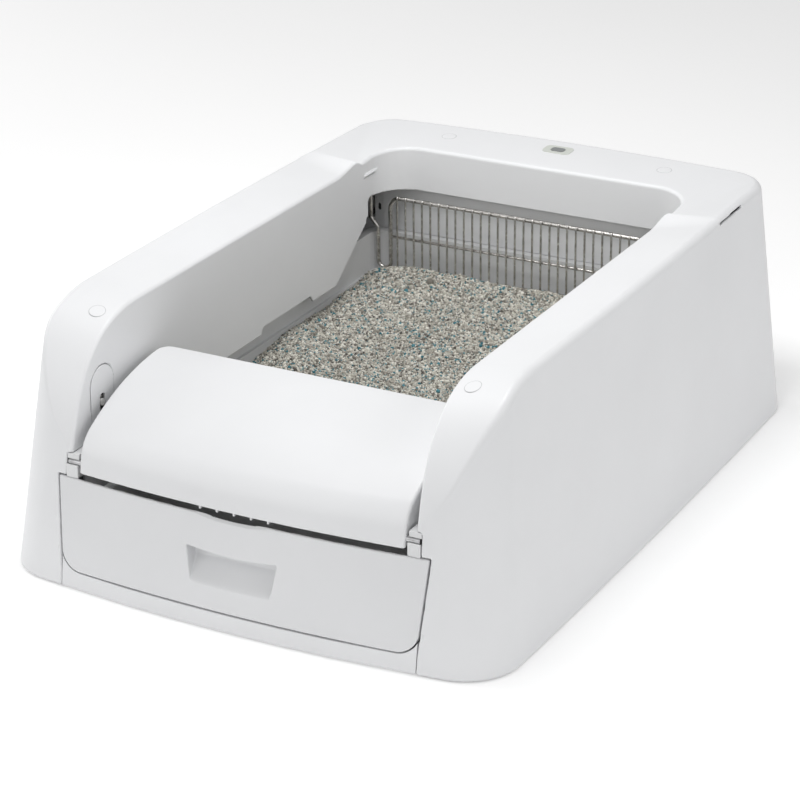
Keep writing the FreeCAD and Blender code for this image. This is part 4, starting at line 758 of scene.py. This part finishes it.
def rake_pieces():
    y = RAKE_Y
    right = [(HANGER, y, 194.5), (HANGER, y, 151.7), (LOOP_OUT, y, 143.3), (LOOP_OUT, y, LOOP_LOW),
             (LOOP_IN, y, LOOP_LOW), (LOOP_IN, y, RAKE_TOP)]
    half = bent(right[:4], 6.0)[:-1] + bent(right[2:6], 7.15)[1:-1]
    whole = half + bent([right[4], right[5], (-LOOP_IN, y, RAKE_TOP)], 12.0)[1:-1]
    path = whole + [Vector((-p.x, p.y, p.z)) for p in reversed(whole)]
    points, faces = tube_mesh(path, WIRE_RADIUS, (0, 1, 0), 16)
    make("rake_wire", points, faces, "rake", WIRE, replaces=["rake_frame"])
    tine_y = y - TINE_BEND
    rod = [Vector((x, tine_y + 2.6, ROD_Z)) for x in (-LOOP_IN, 0, LOOP_IN)]
    points, faces = tube_mesh(rod, ROD_RADIUS, (0, 1, 0), 12)
    make("rake_middle_wire", points, faces, "rake", WIRE, replaces=["rake_mid_rod"])
    hook = [Vector((0, y - TINE_BEND * math.cos(a), RAKE_TOP + TINE_BEND * math.sin(a)))
            for a in (math.radians(12 * k) for k in range(4))]
    line = [Vector((0, tine_y, z)) for z in (29.0, 90.0, 170.0)] + hook
    one, wire_faces = tube_mesh(line, TINE_RADIUS, (1, 0, 0), 10)
    points, faces = [], []
    pitch = 2 * LOOP_IN / (TINES + 1)
    for i in range(TINES):
        x = -LOOP_IN + pitch * (i + 1)
        faces += [tuple(v + len(points) for v in f) for f in wire_faces]
        points += [(p[0] + x, p[1], p[2]) for p in one]
    make("rake_comb", points, faces, "rake", WIRE, replaces=["rake_tines"])


# Litter: a raked bed with loose grains on it

TRAY_HALF, TRAY_CORNER = 180.3, 13.8
CORNER_X, CORNER_Y = 166.5, RAKE_Y - 18
HEAP_RUN = 62
GRAIN_SINK = 0.9
GRAINS, QUICK_GRAINS = 56000, 5000


def corner_reach(y, centre_x):
    """Half width at y inside the tray's round rear corners, whose centres stand at centre_x."""
    into = np.clip(y - CORNER_Y, 0, 13.2)
    return centre_x + np.sqrt(np.maximum(TRAY_CORNER ** 2 - into ** 2, 0))


def litter_height(x, y):
    """Height of the bed, lower at the front and sides, heaped against the comb."""
    rear, front = RAKE_Y - 4.6, LITTER_FRONT
    t = np.clip((y - front) / (rear - HEAP_RUN - front), 0, 1)
    base = LITTER_LOW + (LITTER_MID - LITTER_LOW) * np.sin(t * math.pi / 2) ** 1.4
    heap = 8.5 * np.clip((y - (rear - HEAP_RUN)) / HEAP_RUN, 0, 1) ** 1.5
    sides = -9.0 * np.clip((np.abs(x) - 118) / 62, 0, 1) ** 2
    waves = 1.3 * np.sin(x / 31 + 1.3 * np.sin(y / 47)) + 1.1 * np.sin(y / 23 + x / 61 + 2.1)
    waves += 0.7 * np.sin(x / 11.5 + y / 17.0) + 0.5 * np.sin(x / 7.3 - y / 9.1 + 0.7)
    return base + heap + sides + waves


def litter_bed():
    """The bed's closed body: a waved top and a floor under its edge."""
    xs = np.linspace(-1, 1, 181)
    ys = np.linspace(LITTER_FRONT, RAKE_Y - 4.8, 211)
    X, Y = np.meshgrid(xs, ys, indexing="ij")
    reach = corner_reach(Y, CORNER_X)
    X = np.clip(X * TRAY_HALF, -reach, reach)
    Z = litter_height(X, Y) - GRAIN_SINK
    nx, ny = X.shape
    top = np.stack([X, Y, Z], -1).reshape(-1, 3)
    index = np.arange(nx * ny).reshape(nx, ny)
    quads = np.stack([index[:-1, :-1], index[1:, :-1], index[1:, 1:], index[:-1, 1:]], -1).reshape(-1, 4)
    edge = np.concatenate([index[:, 0], index[-1, 1:], index[-2::-1, -1], index[0, -2:0:-1]])
    under = top[edge].copy()
    under[:, 2] = np.minimum(under[:, 2] - 14, 80)
    count = len(edge)
    walls = [(edge[k], len(top) + k, len(top) + (k + 1) % count, edge[(k + 1) % count])
             for k in range(count)]
    faces = quads.tolist() + walls
    points = np.concatenate([top, under])
    make("litter_base", points, faces, "housing", LITTER_BASE, replaces=["litter_bed"])


def random_turns(rng, many):
    """Turns that favour no direction, as matrices, from random quaternions."""
    q = rng.normal(size=(many, 4))
    q /= np.linalg.norm(q, axis=1)[:, None]
    w, a, b, c = q.T
    rows = [1 - 2 * (b * b + c * c), 2 * (a * b - c * w), 2 * (a * c + b * w),
            2 * (a * b + c * w), 1 - 2 * (a * a + c * c), 2 * (b * c - a * w),
            2 * (a * c - b * w), 2 * (b * c + a * w), 1 - 2 * (a * a + b * b)]
    return np.stack(rows, -1).reshape(-1, 3, 3)


def litter_grains():
    """Loose grains: small rough pebbles set into the bed, each with its own turn and size."""
    rng = np.random.default_rng(11)
    many = GRAINS
    x = rng.uniform(-179.5, 179.5, many)
    y = rng.uniform(LITTER_FRONT + 1.5, RAKE_Y - 6.5, many)
    keep = np.abs(x) < corner_reach(y, CORNER_X - 1)
    x, y = x[keep], y[keep]
    many = len(x)
    size = rng.lognormal(0.0, 0.3, many) * 0.98
    z = litter_height(x, y) - GRAIN_SINK + size * rng.uniform(-0.1, 0.55, many)
    bm = bmesh.new()
    bmesh.ops.create_icosphere(bm, subdivisions=1, radius=1.0)
    ball = np.array([v.co[:] for v in bm.verts])
    sides = np.array([[v.index for v in f.verts] for f in bm.faces])
    bm.free()
    R = random_turns(rng, many)
    stretch = rng.uniform(0.72, 1.18, (many, 1, 3))
    lump = rng.uniform(0.82, 1.15, (many, len(ball), 1))
    points = np.einsum("nij,nvj->nvi", R, ball[None] * stretch * lump) * size[:, None, None]
    points += np.stack([x, y, z], -1)[:, None]
    faces = sides[None] + (np.arange(many) * len(ball))[:, None, None]
    heavy("litter_grains", points.reshape(-1, 3), faces.reshape(-1, 3), "housing", LITTER)


def heavy(name, points, faces, body, material):
    """A large mesh of triangles, filled in one go."""
    mesh = bpy.data.meshes.new(name)
    mesh.vertices.add(len(points))
    mesh.vertices.foreach_set("co", (points * MM).ravel())
    mesh.loops.add(3 * len(faces))
    mesh.loops.foreach_set("vertex_index", faces.ravel().astype(np.int32))
    mesh.polygons.add(len(faces))
    mesh.polygons.foreach_set("loop_start", np.arange(0, 3 * len(faces), 3, dtype=np.int32))
    mesh.update(calc_edges=True)
    mesh.polygons.foreach_set("use_smooth", [True] * len(faces))
    piece = bpy.data.objects.new(name, mesh)
    bpy.context.scene.collection.objects.link(piece)
    finish_piece(piece, body, material)


# Small things on the housing

# Profile of a thin ring just proud of the shell, coloured as painted shade for the groove round each cap
PLUG_SHADE_RING = [(7.45, -0.6), (7.45, 0.04), (7.0, 0.06)]
PLUG_CAP = [(7.05, -0.5), (7.0, 0.12), (6.7, 0.24), (6.2, 0.28), (3.0, 0.28), (0.01, 0.28)]


def rear_plug(side):
    """Place and upward direction of a plug on the rim band behind the well."""
    y = RIM_REAR_Y - 35.8
    return (side * (WELL_HALF - 46.7), y, RIM_Z - (RIM_REAR_Y - y) * REAR_SLOPE), (0, -REAR_SLOPE, 1)


def front_plug(side):
    """Place and upward direction of a plug where the arm's top starts to roll down."""
    x, y = WELL_HALF + 16.8, FRONT_Y + 96.5
    d, gy, gz = (float(v[0]) for v in roll_at(np.array([y]), np.array([RIM_Z])))
    z = RIM_Z + (x - RIM_HALF) * SIDE_SLOPE - d / gz
    return (side * x, y, z), (-side * SIDE_SLOPE, gy / gz, 1)


def plug_pieces():
    """Round caps over the screw holes, each with a thin ring of painted shade round it where the groove
    round the cap would lie in shadow.
    """
    spots = [rear_plug(-1), rear_plug(1), front_plug(-1), front_plug(1)]
    for i, (at, up) in enumerate(spots, 1):
        turned("plug_groove_shade_%d" % i, PLUG_SHADE_RING, at, up, "housing", PAINTED_GROOVE_SHADE)
        turned("plug_cap_%d" % i, PLUG_CAP, at, up, "housing", WHITE)


def inlet_ring():
    wall_y = REAR_Y - REAR_LEAN * INLET_Z - INLET_X ** 2 / (2 * REAR_CROWN)
    out = (INLET_X / REAR_CROWN, 1, REAR_LEAN)
    ring = [(6.05, -4.0), (6.05, 0.2), (6.4, 0.7), (8.6, 0.7), (9.2, 0.3), (9.4, -0.8)]
    turned("inlet_collar", ring, (INLET_X, wall_y, INLET_Z), out, "housing", DARK)


housing_piece()
lid_pieces()
drawer_piece()
rake_pieces()
litter_bed()
litter_grains()
plug_pieces()
inlet_ring()

# Floor, light and camera

def flat_stage():
    """A pale paper floor that glows faintly, so that it stays white under soft light."""
    mesh = bpy.data.meshes.new("floor")
    bm = bmesh.new()
    bmesh.ops.create_grid(bm, x_segments=1, y_segments=1, size=14.0)
    bm.to_mesh(mesh)
    bm.free()
    floor = bpy.data.objects.new("floor", mesh)
    bpy.context.scene.collection.objects.link(floor)
    m, tree, shader = nodes_of("floor_paper")
    noise = node(tree, "ShaderNodeTexNoise", Scale=30.0, Detail=3.0)
    tree.links.new(ramp(tree, noise.outputs["Fac"], [(0.3, (0.93, 0.93, 0.93)), (0.7, (0.95, 0.95, 0.95))]),
                   shader.inputs["Base Color"])
    shader.inputs["Roughness"].default_value = 0.9
    shader.inputs["Emission Color"].default_value = (1, 1, 1, 1)
    shader.inputs["Emission Strength"].default_value = 0.18
    mesh.materials.append(m)


def area_light(name, at, target, size, power):
    data = bpy.data.lights.new(name, "AREA")
    data.shape = "RECTANGLE"
    data.size, data.size_y = size
    data.energy = power
    light = bpy.data.objects.new(name, data)
    light.location = at
    light.rotation_mode = "QUATERNION"
    light.rotation_quaternion = (Vector(target) - Vector(at)).to_track_quat("-Z", "Y")
    bpy.context.scene.collection.objects.link(light)


def set_world():
    world = bpy.data.worlds.new("studio")
    bpy.context.scene.world = world
    world.use_nodes = True
    back = world.node_tree.nodes["Background"]
    back.inputs["Color"].default_value = (1.0, 1.0, 1.0, 1)
    back.inputs["Strength"].default_value = 0.44
    bpy.context.scene.view_settings.view_transform = "Standard"


CAMERA_AT = (1.08845, -2.04909, 1.09122)
CAMERA_TURNS = (28.37, 23.52, 0.51)
FOCAL_PIXELS, PHOTO_PIXELS = 2744.8, 800.0


def set_camera():
    """The photo's camera: its azimuth, elevation and roll in degrees, and its focal length in pixels."""
    az, el, roll = (math.radians(v) for v in CAMERA_TURNS)
    back = Vector((math.sin(az) * math.cos(el), -math.cos(az) * math.cos(el), math.sin(el)))
    right = Vector((0, 0, 1)).cross(back).normalized()
    down = (-back).cross(right)
    c, s = math.cos(roll), math.sin(roll)
    x, y = right * c + down * s, down * c - right * s
    data = bpy.data.cameras.new("photo_camera")
    data.sensor_width = 36.0
    data.lens = data.sensor_width * FOCAL_PIXELS / PHOTO_PIXELS
    data.clip_end = 100.0
    camera = bpy.data.objects.new("photo_camera", data)
    camera.matrix_world = Matrix.LocRotScale(Vector(CAMERA_AT), Matrix((x, -y, back)).transposed(), None)
    bpy.context.scene.collection.objects.link(camera)
    bpy.context.scene.camera = camera


flat_stage()
set_world()
area_light("front_left", (-1.8, -2.6, 1.4), (0, -0.1, 0.1), (1.6, 1.6), 12)
area_light("front_high", (0.4, -2.6, 2.0), (0, 0.1, 0.1), (2.4, 2.4), 15)
area_light("right_side", (2.8, -0.4, 1.3), (0, 0, 0.1), (2.0, 2.0), 18)
area_light("left_side", (-2.8, 0.2, 1.3), (0, 0, 0.1), (2.0, 2.0), 27)
area_light("well_fill", (0.0, -0.14, 1.05), (0, 0.25, 0.15), (0.5, 0.3), 5.4)
set_camera()
